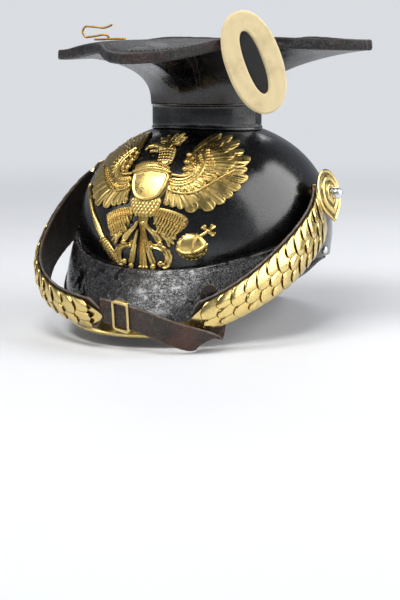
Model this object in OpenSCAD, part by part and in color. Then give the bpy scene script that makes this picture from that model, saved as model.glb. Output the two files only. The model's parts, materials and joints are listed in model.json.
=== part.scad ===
// Lancer czapka: lacquered leather skull and square top board, brass plate and chinscales.
// Millimetres. +Z is up, the front of the helmet faces -Y and the wearer's left is +X.
// The origin is the centre of the head opening, level with the skull's front lower edge.

/* [Skull] */
// Width over the leather skull
skull_w = 190; // [180:1:200]
// Length over the leather skull
skull_l = 218; // [208:1:228]
// Height of the crown over the head opening
skull_h = 111; // [106:1:118]
// Height at which the skull is widest
skull_side_h = 22; // [18:1:26]
// Thickness of the skull's leather
skull_t = 3; // [2.5:0.1:3.5]
// Fullness of the dome: 2 is an ellipse, more is squarer
dome_n = 2.4; // [2.2:0.05:2.6]
// Drop of the lower edge at the nape
nape_drop = 12; // [6:1:16]
// Radius of the vent in the crown, under the neck
vent_r = 8; // [5:0.5:12]

/* [Neck and board] */
// Outer radius of the neck
neck_r = 42; // [39:0.5:45]
// Height of the seam between neck and flare
neck_seam_z = 124; // [120:1:128]
// Wall of the neck tube
neck_t = 2.5; // [2:0.1:3.5]
// Radius of the roll round the neck's foot
foot_roll_r = 1.5; // [1.2:0.1:2.2]
// Distance from the axis to a corner of the board
board_r = 134; // [126:1:142]
// Height of the board's edges at their middle
board_z = 172.5; // [169:0.5:176]
// How far the board's sides curve in, as a share
board_concave = 0.1; // [0.04:0.01:0.14]
// Drop of the front corner below the edges' middle
drop_front = 11.5; // [4:0.5:16]
// Drop of the wearer's left corner
drop_left = 2.5; // [0:0.5:10]
// Drop of the back corner
drop_back = 1.5; // [0:0.5:10]
// Drop of the wearer's right corner
drop_right = 10.5; // [4:0.5:16]
// Dip of the edge between the front and the wearer's right corner
edge_dip = 5; // [0:0.5:8]
// Thickness of the board
board_t = 2.5; // [2:0.1:3]
// Height of the bound edge
welt_h = 8; // [6.5:0.5:9]
// Thickness of the bound edge
welt_t = 4.6; // [3.6:0.2:5.4]
// Thickness of the flared leather
flare_t = 2; // [1.6:0.1:2.6]

/* [Visors] */
// Half width of the front visor at its rim
visor_w = 93; // [91.5:0.5:93.5]
// Reach of the front visor's rim from the axis
visor_reach = 139; // [132:1:140]
// Depth of the rim's front below the head opening
visor_dip = 35; // [30:1:36]
// Rise of the rim from its front towards its ends
rim_rise = 58; // [50:1:62]
// Height of the visor's seam at the front
seam_z = 7; // [5:0.5:9]
// Rise of the visor's seam from the front to the side
seam_rise = 32; // [28:1:34]
// Bulge of the visor between its seam and its rim
visor_bulge = 2.2; // [1.4:0.2:3]
// Thickness of the visor's leather
visor_t = 2.6; // [2:0.1:3]
// Width of the brass channel on the rim
trim_w = 8; // [6:0.5:9]
// Thickness of the brass channel
trim_t = 0.8; // [0.6:0.1:1]
// Drop of the rear peak below the skull's edge
peak_drop = 20; // [12:1:24]
// Reach of the rear peak beyond the skull
peak_reach = 12; // [6:1:14]

/* [Chinscales] */
// Distance of the two bosses behind the axis
boss_back = 4; // [2:0.5:6]
// Height of the two bosses
boss_z = 58; // [54:1:62]
// Length of a boss from the skull's leather to the lining
boss_stand = 3.25; // [3.05:0.05:4.6]
// How far the loop bulges beyond its bosses on each side
loop_bulge = 7.4; // [7.2:0.1:8.8]
// Distance of the loop's front ahead of the visor's rim
loop_ahead = 13; // [12.5:0.5:17]
// Drop of the loop's front below the bosses
loop_drop = 75; // [74:0.5:80]
// Lean of the loop's front, top edge forward, in degrees
loop_lean = 25; // [18:1:30]
// Sag of the wearer's left chain
left_sag = 11; // [8:1:16]
// Sag of the wearer's right chain
right_sag = 3; // [0:1:8]
// Width of a chain at its boss
chain_w0 = 38; // [34:1:40]
// Width of a chain at its front end
chain_w1 = 22; // [20:1:24]
// Length of the wearer's left chain from its boss
left_chain = 171; // [160:1:174]
// Length of the wearer's right chain from its boss
right_chain = 220; // [208:1:221]
// Thickness of a scale's brass
scale_t = 0.8; // [0.6:0.05:0.9]
// Crown of a scale across the chain
scale_crown = 3.4; // [2:0.2:4.4]
// Thickness of the leather lining
lining_t = 1.5; // [1:0.1:1.8]
// Radius of a rosette's round end
rosette_r = 18; // [15:0.5:20]
// Distance from a rosette's centre to its point
rosette_point = 22; // [20:1:26]
// Radius of the silvered dome nuts
dome_r = 4.6; // [4:0.2:5.2]
// Diameter of the boss shafts
shaft_d = 6; // [5:0.25:7]

/* [Strap and buckle] */
// Width of the chin strap
strap_w = 19; // [16:0.5:20]
// Thickness of the chin strap
strap_t = 2; // [1.6:0.1:2.4]
// Width of the buckle frame along the strap
buckle_l = 14; // [12:0.5:15]
// Width of a buckle bar
buckle_bar = 2; // [1.8:0.1:2.8]
// Thickness of the buckle's metal
buckle_t = 1.2; // [1.1:0.1:1.8]

/* [Field badge] */
// Height of the oval badge
badge_h = 76; // [68:1:82]
// Height of the badge's centre over the head opening
badge_z = 155; // [150:1:158]
// Shift of the badge along the board's edge, towards the wearer's left corner
badge_shift = 4; // [0:1:8]
// Width of the oval badge
badge_w = 42; // [36:1:46]
// Height of its dark centre
badge_in_h = 47; // [40:1:52]
// Width of its dark centre
badge_in_w = 13; // [10:0.5:17]
// Thickness of the badge's ring
badge_t = 3; // [2.2:0.2:4]
// Lean of the badge towards the front corner, in degrees
badge_lean = 22; // [10:1:26]
// Diameter of the tang's wire
tang_d = 3; // [2.4:0.1:3.4]
// Depth of the tang in its socket
tang_depth = 26; // [20:1:28]

/* [Plate, hook and lining] */
// Height of the eagle
plate_h = 91; // [86:1:93]
// Relief of the front plate
plate_t = 2.2; // [1.4:0.1:3]
// Diameter of the plate's studs
stud_d = 3; // [2.5:0.1:3.6]
// Diameter of the cap line hook's wire
hook_d = 1.6; // [1.3:0.1:1.9]
// Gap between the hook's arms
hook_gap = 6.8; // [5.6:0.1:7.4]
// Length of the hook
hook_l = 28; // [24:1:31]
// Height of the sweatband
band_h = 28; // [24:1:30]
// Thickness of the sweatband
band_t = 1.6; // [1.2:0.1:2]
// Number of the lining's tongues
tongues = 8; // [6:1:10]

/* [Hidden] */
clear = 0.3;
fit = 0.2;
// Gap inside the skull, whose faces there lie a little under the true curve
inner_gap = 1.2;
// Half length of a cutter through a wall
cut = 3 * skull_t;
around = 48;
turn = 360 / around;
eps = 0.01;
rx = skull_w / 2;
ry = skull_l / 2;
rise = skull_h - skull_side_h;
waist_in = 0.025;

left_count = 13;
right_count = 16;
function two(n) = n < 10 ? str("0", n) : str(n);
SCALES = [
    for (i = [1 : left_count]) str("left_scale_", two(i)),
    for (i = [1 : right_count]) str("right_scale_", two(i))
];

BLACK = "#1b1a1c";
BRASS = "#c9a344";
LEATHER = "#4a3325";
STEEL = "#b9bcc0";
CREAM = "#d9c9a0";
TAN = "#9a7148";

function lerp(a, b, t) = a + (b - a) * t;
function unit(v) = v / norm(v);
function clamp(x, lo, hi) = min(max(x, lo), hi);
function smooth(lo, hi, x) = let (t = clamp((x - lo) / (hi - lo), 0, 1)) t * t * (3 - 2 * t);

// Faces of a skin over rings of n points; each end is closed by a strip of triangles
function skin_faces(rings, n, wrap) = [
    for (i = [0 : rings - (wrap ? 1 : 2)], j = [0 : n - 1])
        let (k = (i + 1) % rings, m = (j + 1) % n)
            each [[i * n + j, k * n + j, k * n + m], [i * n + j, k * n + m, i * n + m]],
    if (!wrap)
        for (j = [0 : floor((n - 2) / 2) - 1], far = [0, 1])
            let (o = far * (rings - 1) * n, a = o + j, b = o + j + 1,
                 c = o + n - 2 - j, d = o + n - 1 - j)
                each far == 0 ? [[a, b, c], [a, c, d]] : [[c, b, a], [d, c, a]]
];
module skin(rings, wrap = false) {
    polyhedron(points = [for (r = rings) each r], faces = skin_faces(len(rings), len(rings[0]), wrap));
}
// A sheet from two grids of points, one for each face
module sheet(front, back) {
    skin([for (i = [0 : len(front) - 1])
        concat(front[i], [for (j = [len(back[i]) - 1 : -1 : 0]) back[i][j]])]);
}
// An oval outline of fullness n
function oval(w, h, n = 2.3, count = 48) = [
    for (i = [0 : count - 1]) let (a = 360 * i / count, c = cos(a), s = sin(a))
        [w / 2 * sign(c) * pow(abs(c), 2 / n), h / 2 * sign(s) * pow(abs(s), 2 / n)]
];

// The skull's outer surface at a turn from the front and a climb of 0 to 90 degrees up the dome
function dome(turn_a, climb, off = 0) = [
    (rx + off) * cos(climb) * sin(turn_a),
    -(ry + off) * cos(climb) * cos(turn_a),
    skull_side_h + (rise + off) * pow(sin(climb), 2 / dome_n)
];
// The skull's side below its widest height
function side(turn_a, z, off = 0) = let (k = 1 - waist_in * (skull_side_h - z) / skull_side_h)
    [(rx * k + off) * sin(turn_a), -(ry * k + off) * cos(turn_a), z];
edge_rise = 9;
function edge_z(turn_a) = edge_rise * pow(sin(turn_a), 2) - nape_drop * pow((1 - cos(turn_a)) / 2, 6);
function climb_step(q, top) = top * pow(q / 11, 0.8);
function skull_profile(turn_a, off, top) = concat(
    [for (q = [0, 0.5]) side(turn_a, lerp(edge_z(turn_a), skull_side_h, q), off)],
    [for (q = [0 : 11]) dome(turn_a, climb_step(q, top), off)]
);
vent_climb = acos(vent_r / rx);
// A frame on the skull's surface at x and z, on the front or the side: Z points out of the leather
module on_skull(x, z) {
    share = pow((z - skull_side_h) / rise, dome_n);
    y = -ry * sqrt(1 - share - pow(x / rx, 2));
    n = unit([2 * x / rx / rx, 2 * y / ry / ry, dome_n / rise * pow((z - skull_side_h) / rise,
        dome_n - 1)]);
    translate([x, y, z]) rotate([0, acos(n[2]), atan2(n[1], n[0])]) children();
}
// The boss's place on the skull, and the direction of the leather there
boss_share = pow((boss_z - skull_side_h) / rise, dome_n);
boss_x = rx * sqrt(1 - boss_share - pow(boss_back / ry, 2));
// The linings stand one boss off the skull, and the loop passes clear of the visor's rim
loop_w = boss_x + boss_stand;
loop_wide = loop_w + loop_bulge;
loop_reach = visor_reach + boss_back + loop_ahead;
boss_n = unit([2 * boss_x / rx / rx, 2 * boss_back / ry / ry,
    dome_n / rise * pow((boss_z - skull_side_h) / rise, dome_n - 1)]);
boss_tilt = [0, acos(boss_n[2]), atan2(boss_n[1], boss_n[0])];
module each_side() {
    children();
    mirror([1, 0, 0]) children();
}
module at_boss(x) {
    translate([x, boss_back, boss_z]) rotate([0, 90, 0]) children();
}

// The eagle is drawn this high, and then brought to its height
drawn_h = 91;
plate_k = plate_h / drawn_h;
plate_x = 3.5 * plate_k;
stud_high = [34, 72] * plate_k;
stud_low = [17, 45] * plate_k;
plate_studs_at = [for (x = [-1, 1], p = [stud_high, stud_low]) [plate_x + p[0] * x, p[1]]];
module skull() {
    color(BLACK) difference() {
        skin([for (i = [0 : around - 1]) concat(
            skull_profile(i * turn, 0, vent_climb),
            let (inner = skull_profile(i * turn, -skull_t, vent_climb))
                [for (j = [len(inner) - 1 : -1 : 0]) inner[j]]
        )], wrap = true);
        for (p = plate_studs_at) on_skull(p[0], p[1])
            translate([0, 0, -cut]) cylinder(d = stud_d + 2 * fit, h = 2 * cut, $fn = 24);
        each_side() at_boss(boss_x - cut) cylinder(d = shaft_d + 2 * fit, h = 2 * cut, $fn = 32);
        each_side() at_side_stud() translate([0, 0, -cut]) cylinder(d = side_stud_d + 2 * fit,
            h = 2 * cut, $fn = 24);
    }
}

// The neck tube, cut to sit on the dome
module crown_form(off) {
    low = 50;
    high = 88;
    skin([for (q = [0 : 7]) [for (i = [0 : around - 1])
        dome(i * turn, lerp(low, high, q / 7), off) - (q == 0 ? [0, 0, 2 * cut] : [0, 0, 0])]]);
}
seam_lip = 0.9;
neck_foot_z = skull_side_h + rise * pow(sin(acos(neck_r / rx)), 2 / dome_n);
module neck() {
    foot = neck_foot_z - skull_t;
    color(BLACK) difference() {
        rotate_extrude($fn = 96) union() {
            polygon([
                [neck_r - neck_t, foot], [neck_r, foot], [neck_r, neck_seam_z - 2.2 * seam_lip],
                [neck_r + seam_lip, neck_seam_z - 1.5 * seam_lip], [neck_r + seam_lip,
                    neck_seam_z - clear / 2],
                [neck_r - neck_t, neck_seam_z - clear / 2]
            ]);
            translate([neck_r - 0.6 * foot_roll_r, neck_foot_z + foot_roll_r]) circle(r = foot_roll_r,
                $fn = 32);
        }
        crown_form(clear);
    }
}

// The board's outline: distance from the axis and height at a turn from the front
function board_out(a) = board_r / pow(pow(abs(sin(a)), 1.05) + pow(abs(cos(a)), 1.05), 1 / 1.05)
    * (1 - board_concave * pow(sin(2 * a), 2));
corner_drops = [drop_front, drop_left, drop_back, drop_right];
function corner_drop(a) = corner_drops[floor((a + 45) / 90) % 4];
function board_edge_z(a) = let (b = (a + 360) % 360)
    board_z - corner_drop(b) * pow(cos(2 * a), 2) - (b > 270 ? edge_dip : 0) * pow(sin(2 * a), 2);
function board_point(a, share, dz) = let (r = (board_out(a) - welt_t - clear) * share) [
    r * sin(a), -r * cos(a), lerp(board_z - 1, board_edge_z(a), pow(share, 5)) + dz
];
// Turns round the board, closer together at its corners
function corner_turns() = [for (q = [0 : 3], k = [-45, -36, -28, -21, -15, -10, -6, -3, 0, 3, 6, 10, 15,
    21, 28, 36])
    q * 90 + k];
module mortarboard() {
    shares = [0.04, 0.3, 0.55, 0.75, 0.9, 1];
    color(BLACK) difference() {
        skin([
            for (s = shares) [for (a = corner_turns()) board_point(a, s, -board_t)],
            for (k = [len(shares) - 1 : -1 : 0])
                [for (a = corner_turns()) board_point(a, shares[k], 0)]
        ]);
        in_badge_frame() tang_line(-tang_depth - socket_over - 1) cylinder(d = socket_d + 2 * fit,
            h = 2 * tang_depth, $fn = 32);
    }
}
// The bound edge: a flattened roll round the board
welt_over = 1.2;
module board_welt() {
    color(LEATHER) skin([for (a = corner_turns())
        [for (k = [0 : 7]) let (b = k * 45 + 22.5, s = sign(cos(b)) * pow(abs(cos(b)), 0.6))
            let (r = board_out(a) - welt_t / 2 + welt_t / 2 * s,
                 p = board_point(a, 1, 0))
                [r * sin(a), -r * cos(a), p[2] + welt_over - welt_h / 2
                    + welt_h / 2 * sign(sin(b)) * pow(abs(sin(b)), 0.6)]]
    ], wrap = true);
}
// The flare: from the round neck out to the underside of the bound edge
function flare_point(a, s) = let (
    r = lerp(neck_r + flare_t / 2, board_out(a) - welt_t - 2 * clear, s), z0 = neck_seam_z + clear / 2
) [r * sin(a), -r * cos(a),
    z0 + (board_z + welt_over - welt_h - z0) * pow(s, 0.42) - (board_z - board_edge_z(a)) * pow(s, 3)];
module neck_flare() {
    steps = [0, 0.03, 0.1, 0.24, 0.45, 0.72, 1];
    color(BLACK) difference() {
        skin([for (a = corner_turns()) concat(
            [for (s = steps) flare_point(a, s)],
            [for (k = [len(steps) - 1 : -1 : 0]) flare_inner(a, steps[k])]
        )], wrap = true);
        in_badge_frame() tang_line(-tang_depth - socket_over - 1) cylinder(d = socket_d + 2 * fit,
            h = 2 * tang_depth, $fn = 32);
    }
}
function flare_inner(a, s) = let (
    h = 0.01, p = flare_point(a, s), q = flare_point(a, s + h), d = unit(q - p),
    n = unit(cross(d, [cos(a), sin(a), 0]))
) p + (s == 0 ? [-sin(a), cos(a), 0] : n) * flare_t;

// The front visor: seam on the skull, rim out in front
visor_end = 73;
function seam_h(a) = seam_z + seam_rise * (1 - cos(a));
function seam_point(a) = let (z = seam_h(a))
    z < skull_side_h ? side(a, z, clear) : dome(a, asin(pow((z - skull_side_h) / (rise + clear),
        dome_n / 2)), clear);
function rim_point(a) = [visor_w * sin(a), -visor_reach * cos(a), -visor_dip + rim_rise * pow(1 - cos(a),
    1.5)];
function visor_out(a) = unit(cross(rim_point(a) - seam_point(a), [rx * cos(a), ry * sin(a), 0]));
function visor_point(a, v, off) = lerp(seam_point(a), rim_point(a),
    v) + visor_out(a) * (off + 4 * v * (1 - v) * visor_bulge);
visor_turns = [for (k = [-13 : 13]) k * visor_end / 13];
module front_visor() {
    vs = [0, 0.2, 0.4, 0.6, 0.8, 1];
    color(BLACK) sheet(
        [for (a = visor_turns) [for (v = vs) visor_point(a, v, visor_t)]],
        [for (a = visor_turns) [for (v = vs) visor_point(a, v, 0)]]
    );
}
// The brass channel: a U section folded over the visor's rim
module visor_trim() {
    gap = 0.25;
    ease = 0.35;
    color(BRASS) skin([for (a = visor_turns)
        let (o = visor_out(a), d = unit(visor_point(a, 1, 0) - visor_point(a, 0.94, 0)), p = rim_point(a),
             lo = -gap, hi = visor_t + gap)
            [
                p - d * trim_w * 0.6 + o * (hi + ease + trim_t), p + d * gap + o * (hi + trim_t),
                p + d * (gap + trim_t) + o * visor_t * 0.5,
                p + d * gap + o * (lo - trim_t), p - d * trim_w * 0.4 + o * (lo - trim_t - ease),
                p - d * trim_w * 0.4 + o * (lo - ease), p + d * gap * 0.5 + o * lo,
                    p + d * gap + o * visor_t * 0.5,
                p + d * gap * 0.5 + o * hi, p - d * trim_w * 0.6 + o * (hi + ease)
            ]]);
}
// The short rear peak under the nape
peak_turn = 46;
// How far the peak laps up over the skull's edge
peak_lap = 7;
function peak_share(a) = pow(cos((a - 180) * 90 / peak_turn), 2);
function peak_point(a, v, off) = let (w = peak_share(a), z0 = edge_z(a) + peak_lap, p = side(a, z0,
    clear + off))
    p + [sin(a), -cos(a), 0] * peak_reach * w * v * v - [0, 0, (peak_lap + 1 + peak_drop * w) * v];
module rear_peak() {
    vs = [0, 0.3, 0.55, 0.8, 1];
    turns = [for (k = [-7 : 7]) 180 + k * (peak_turn - 2) / 7];
    color(BLACK) sheet(
        [for (a = turns) [for (v = vs) peak_point(a, v, visor_t)]],
        [for (a = turns) [for (v = vs) peak_point(a, v, 0)]]
    );
}

// The front plate: a heraldic eagle drawn from the front, laid on the dome
wing_tips = [[28, 102], [37, 99], [45, 95], [51, 90], [55.5, 84], [58, 77.5], [59, 71], [57, 65],
    [53.5, 59],
    [48.5, 54], [40, 51], [31, 52], [23, 53.5], [16, 55]];
wing_top = [21, 88];
wing_low = [13, 68];
module feather(from, to, r0, r1) {
    hull() {
        translate(from * plate_k) circle(r = r0 * plate_k, $fn = 8);
        translate(to * plate_k) circle(r = r1 * plate_k, $fn = 10);
    }
}
module scroll_arm(points, r0, r1) {
    for (i = [0 : len(points) - 2])
        feather(points[i], points[i + 1], lerp(r0, r1, i / (len(points) - 1)), lerp(r0, r1,
            (i + 1) / (len(points) - 1)));
}
module half_eagle() {
    last = len(wing_tips) - 1;
    for (i = [0 : last]) let (root = lerp(wing_top, wing_low, i / last), tip = wing_tips[i])
        feather(lerp(root, tip, 0.1), lerp(root, tip, 0.93), 3.2, 2.9);
    feather(wing_top, [15, 70], 3.2, 5);
    feather([8, 70], [20, 66], 8, 7);
    feather([5, 54], [14, 48], 5, 5);
    feather([14, 48], [28, 45], 5, 3.2);
    feather([15, 45], [17.5, 34], 3.4, 2.2);
    scroll_arm([[1, 44], [5, 37], [12, 32], [18, 26], [20.7, 18.4], [18.2, 12.5], [13, 12.5]], 1.5, 2);
    scroll_arm([[1, 38], [4, 28], [8, 20], [9, 12.5]], 1.3, 1.8);
}
module eagle() {
    half_eagle();
    mirror([1, 0]) half_eagle();
    feather([0, 74], [0, 60], 14, 11);
    feather([0, 58], [0, 52], 9, 6);
    feather([0, 50], [0, 11.5], 2.4, 2.2);
    // Neck, head, beak and crown
    feather([4, 80], [2, 90], 7, 5);
    feather([1, 91], [-16, 93], 4, 1.4);
    feather([1, 90], [-1, 98], 4.4, 4);
    feather([-8, 98.5], [4, 99.5], 2.6, 3);
    // Orb with its cross, and the sceptre
    feather([17.5, 34], [29, 29], 2.2, 2.6);
    translate([35.5, 26] * plate_k) circle(r = 9.8 * plate_k, $fn = 24);
    feather([40, 31], [48.5, 41], 1.7, 1.7);
    feather([42, 40], [48, 34.5], 1.7, 1.7);
    scroll_arm([[-63.5, 63], [-50.5, 46], [-37.5, 30], [-20.5, 11.5]], 1.7, 2.2);
    feather([-17.5, 34], [-34, 26], 2.2, 2.2);
}
module plate_blank() {
    // The same turns and climbs as the skull's, so the two faces stay one gap apart
    turns = [for (k = [-8 : 8]) k * turn];
    function at(a, q, off) = q < 0 ? side(a, seam_z + 1, off) : dome(a, climb_step(q, vent_climb), off);
    sheet(
        [for (a = turns) [for (q = [-1 : 8]) at(a, q, clear)]],
        [for (a = turns) [for (q = [-1 : 8]) at(a, q, clear + plate_t)]]
    );
}
module front_plate() {
    color(BRASS) intersection() {
        plate_blank();
        translate([plate_x, -cut, 0]) rotate([90, 0, 0]) linear_extrude(ry + cut) eagle();
    }
}
nut_h = 2.4;
stud_in = skull_t + inner_gap + nut_h + 0.6;
module plate_studs() {
    color(BRASS) for (p = plate_studs_at) on_skull(p[0], p[1])
        translate([0, 0, -stud_in]) cylinder(d = stud_d, h = stud_in - 2 * fit, $fn = 24);
}
module plate_nuts() {
    color(BRASS) for (p = plate_studs_at) on_skull(p[0], p[1])
        translate([0, 0, -skull_t - inner_gap - nut_h]) difference() {
            cylinder(d = 2.3 * stud_d, h = nut_h, $fn = 6);
            translate([0, 0, -1]) cylinder(d = stud_d + fit, h = nut_h + 2, $fn = 24);
        }
}

// Sweatband and the lining's tongues
band_low = 10;
function band_ring(off) = oval(2 * (rx * (1 - waist_in) - skull_t + off),
    2 * (ry * (1 - waist_in) - skull_t + off), 2, 96);
module ring_wall(outer, inner, h) {
    linear_extrude(h) difference() {
        polygon(outer);
        polygon(inner);
    }
}
module sweatband() {
    color(TAN) translate([0, 0, band_low]) ring_wall(band_ring(-clear), band_ring(-clear - band_t), band_h);
}
tongue_t = 1.2;
// Gap between the skull and the tongues, and how far the tongues lap down the sweatband
tongue_gap = 9;
tongue_lap = 14;
tongue_low = 2;
tongue_off = -skull_t - tongue_gap;
tongue_climbs = [0, 14, 28, 42, 55, 66, 74];
module lining_tongues() {
    color(TAN) for (i = [0 : tongues - 1]) sheet(
        [for (j = [-1 : 1]) [for (q = [0 : len(tongue_climbs)]) tongue_at(i, j, q, tongue_t)]],
        [for (j = [-1 : 1]) [for (q = [0 : len(tongue_climbs)]) tongue_at(i, j, q, 0)]]
    );
}
// Each tongue's foot is sewn inside the sweatband; above it the tongue follows the dome
function tongue_at(i, j, q, off) = let (
    narrow = 1 - 0.3 * q / len(tongue_climbs),
    a = (i + 0.5) * 360 / tongues + j * 150 / tongues * narrow,
    back = skull_t + clear + band_t + clear + tongue_t + 2 * fit,
    w = rx * (1 - waist_in) - back + off, l = ry * (1 - waist_in) - back + off
) q < 2 ? [w * sin(a), -l * cos(a), q == 0 ? band_low + tongue_lap : band_low + band_h]
    : dome(a, tongue_climbs[q - 1], tongue_off + off) - [0, 0, tongue_low];

// Bosses: a post with its foot on the skull, a washer and nut inside and a dome nut outside
post_foot_r = 6;
rosette_c = 5.8;
rosette_h = 3.2;
dome_x = loop_w + rosette_c + rosette_h + 4 * clear;
washer_r = 8.5;
// Length of a boss's shaft inside the skull
shaft_in = 9.5;
nut_x = boss_x - skull_t - shaft_in;
boss_nut_h = 4;
half_cube = 30;
module boss_skin(depth) {
    translate([boss_x, boss_back, boss_z]) rotate(boss_tilt) translate([-half_cube, -half_cube,
        depth]) children();
}
module boss_posts() {
    color(BRASS) each_side() {
        difference() {
            at_boss(boss_x - post_foot_r) cylinder(r = post_foot_r,
                h = loop_w - clear - boss_x + post_foot_r, $fn = 48);
            boss_skin(clear - 2 * half_cube) cube(2 * half_cube);
        }
        at_boss(nut_x - 0.8) cylinder(d = shaft_d, h = dome_x + 2.6 - nut_x, $fn = 48);
    }
}
module boss_washers() {
    color(TAN) each_side() difference() {
        at_boss(nut_x + boss_nut_h + fit / 2) cylinder(r = washer_r, h = 2 * cut, $fn = 48);
        at_boss(nut_x - cut) cylinder(d = shaft_d + 2 * fit, h = 4 * cut, $fn = 48);
        boss_skin(-skull_t - inner_gap) cube(2 * half_cube);
    }
}
module boss_nuts() {
    color(STEEL) each_side() at_boss(nut_x) difference() {
        cylinder(d = 2 * shaft_d, h = boss_nut_h, $fn = 6);
        translate([0, 0, -1]) cylinder(d = shaft_d + fit, h = boss_nut_h + 2, $fn = 48);
    }
}
module dome_nuts() {
    color(STEEL) each_side() at_boss(dome_x) rotate_extrude($fn = 48) polygon(concat(
        [[shaft_d / 2 + fit / 2, 0], [dome_r * 1.05, 0], [dome_r * 1.05, 0.8], [dome_r, 1.3]],
        [for (a = [0 : 15 : 90]) [dome_r * cos(a), 3.2 + dome_r * sin(a)]],
        [[0, 3], [shaft_d / 2 + fit / 2, 3]]
    ));
}
side_stud_d = 3;
side_stud_z = 14;
side_stud_y = 11;
side_stud_x = rx * (1 - waist_in * (skull_side_h - side_stud_z) / skull_side_h)
    * sqrt(1 - pow(side_stud_y / ry, 2));
module at_side_stud() {
    translate([side_stud_x, side_stud_y, side_stud_z]) rotate([0, 90, 0]) children();
}
module side_studs() {
    color(STEEL) each_side() at_side_stud() {
        translate([0, 0, -skull_t - 1]) cylinder(d = side_stud_d, h = skull_t + 2, $fn = 24);
        translate([0, 0, 2 * clear]) rotate_extrude($fn = 32) polygon([
            [0, 0], [3.2, 0], [3.2, 0.5], [2.7, 1.3], [1.6, 1.9], [0, 2.1]
        ]);
    }
}

// The chinscale loop: way of a chain from its boss, 0 degrees, to the loop's front, 90 degrees
function loop_at(s, t) = let (
    f = abs(sin(t)),
    wide = loop_wide - (loop_wide - loop_w) * exp(-f / 0.12),
    sag = s > 0 ? left_sag : right_sag * (1 - pow(f, 3))
) [
    s * sign(cos(t)) * wide * sqrt(1 - pow(f, 3)),
    boss_back - loop_reach * f,
    boss_z - loop_drop * f - (1 - exp(-f / 0.08)) * sag
];
function way_table(s) = [
    for (t = 0, d = 0; t <= 89; d = d + norm(loop_at(s, t + 1) - loop_at(s, t)), t = t + 1) [d, t]
];
way_left = way_table(1);
way_right = way_table(-1);
function turn_at(s, d) = lookup(d, s > 0 ? way_left : way_right);
function way_dir(s, d) = let (t = max(turn_at(s, d), 0.6)) unit(loop_at(s, t + 0.5) - loop_at(s, t - 0.5));
// Out from the head: along the bosses' axis at the boss, leaning down at the loop's front
function way_out(s, d) = let (
    v = way_dir(s, d), f = sin(turn_at(s, d)), level = s * unit([-v[1], v[0], 0]),
    aim = lerp([s, 0, 0], level, smooth(0, 0.35, f)) - [0, 0, tan(loop_lean) * smooth(0.45, 1, f)]
) unit(aim - v * (aim * v));
function way_up(s, d) = s * cross(way_dir(s, d), way_out(s, d));
// A point on a chain: d along it, b across it and c out from the lining's back
function chain_point(s, d, b, c) = loop_at(s, turn_at(s, d)) + way_up(s, d) * b + way_out(s, d) * c;
function chain_len(s) = s > 0 ? left_chain : right_chain;
function chain_count(s) = s > 0 ? left_count : right_count;
// Crown of a scale at the boss, and the depth of the lobes and of the curve at its free edge
root_crown = 0.8;
lobe_depth = 3.2;
edge_curve = 3.5;
first_scale = 10;
end_len = 15;
function pitch(s) = (chain_len(s) - first_scale - end_len) / chain_count(s);
function chain_w(s, d) = lerp(chain_w0, chain_w1, clamp(d / chain_len(s), 0, 1));
function crown(s, d, b) = (root_crown + (scale_crown - root_crown) * smooth(12, 52,
    d)) * (1 - pow(2 * b / chain_w(s, d), 2));
function scale_slope(s) = (scale_t + 0.4) / pitch(s);
// Depth of the lobes at a scale's free edge, across it from -1 to 1
function lobe(x, lobes) = let (q = ((x + 1) / 2 * lobes) % 1 * 2 - 1) sqrt(max(0, 1 - 0.92 * q * q));
function scale_reach(s, i, x) = pitch(s) * 1.55 + lobe_depth * lobe(clamp(x, -0.999, 0.999), i % 2 == 0
    ? 3 : 2)
    - edge_curve * x * x;
module chain_scale(s, i) {
    root = first_scale + (i - 1) * pitch(s);
    cols = [for (j = [0 : 12]) -1 + j / 6];
    function at(x, q, c) = let (d = root + scale_reach(s, i, x) * q, b = x * chain_w(s, d) / 2)
        chain_point(s, d, b, lining_t + clear + scale_slope(s) * (d - root) + crown(s, d, b) + c);
    color(BRASS) sheet(
        [for (x = cols) [for (q = [0, 0.5, 1]) at(s * x, q, scale_t)]],
        [for (x = cols) [for (q = [0, 0.5, 1]) at(s * x, q, 0)]]
    );
}
lining_edge = 1.2;
lining_disc_r = 10;
module chain_lining(s) {
    ends = [for (q = [0 : 27]) lerp(2, chain_len(s), q / 27)];
    function half(d) = (chain_w(s, d) / 2 + lining_edge) * (0.5 + 0.5 * smooth(0, 14, d));
    color(LEATHER) difference() {
        union() {
            sheet(
                [for (d = ends) [for (x = [-1, 1]) chain_point(s, d, s * x * half(d), lining_t)]],
                [for (d = ends) [for (x = [-1, 1]) chain_point(s, d, s * x * half(d), 0)]]
            );
            side_of(s) at_boss(loop_w) cylinder(r = lining_disc_r, h = lining_t, $fn = 48);
        }
        side_of(s) at_boss(loop_w - cut) cylinder(d = shaft_d + 2 * fit, h = 2 * cut, $fn = 48);
    }
}
module side_of(s) {
    if (s > 0) children();
    else mirror([1, 0, 0]) children();
}
rosette_lean = 12;
rosette_tilt = 12;
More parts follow.
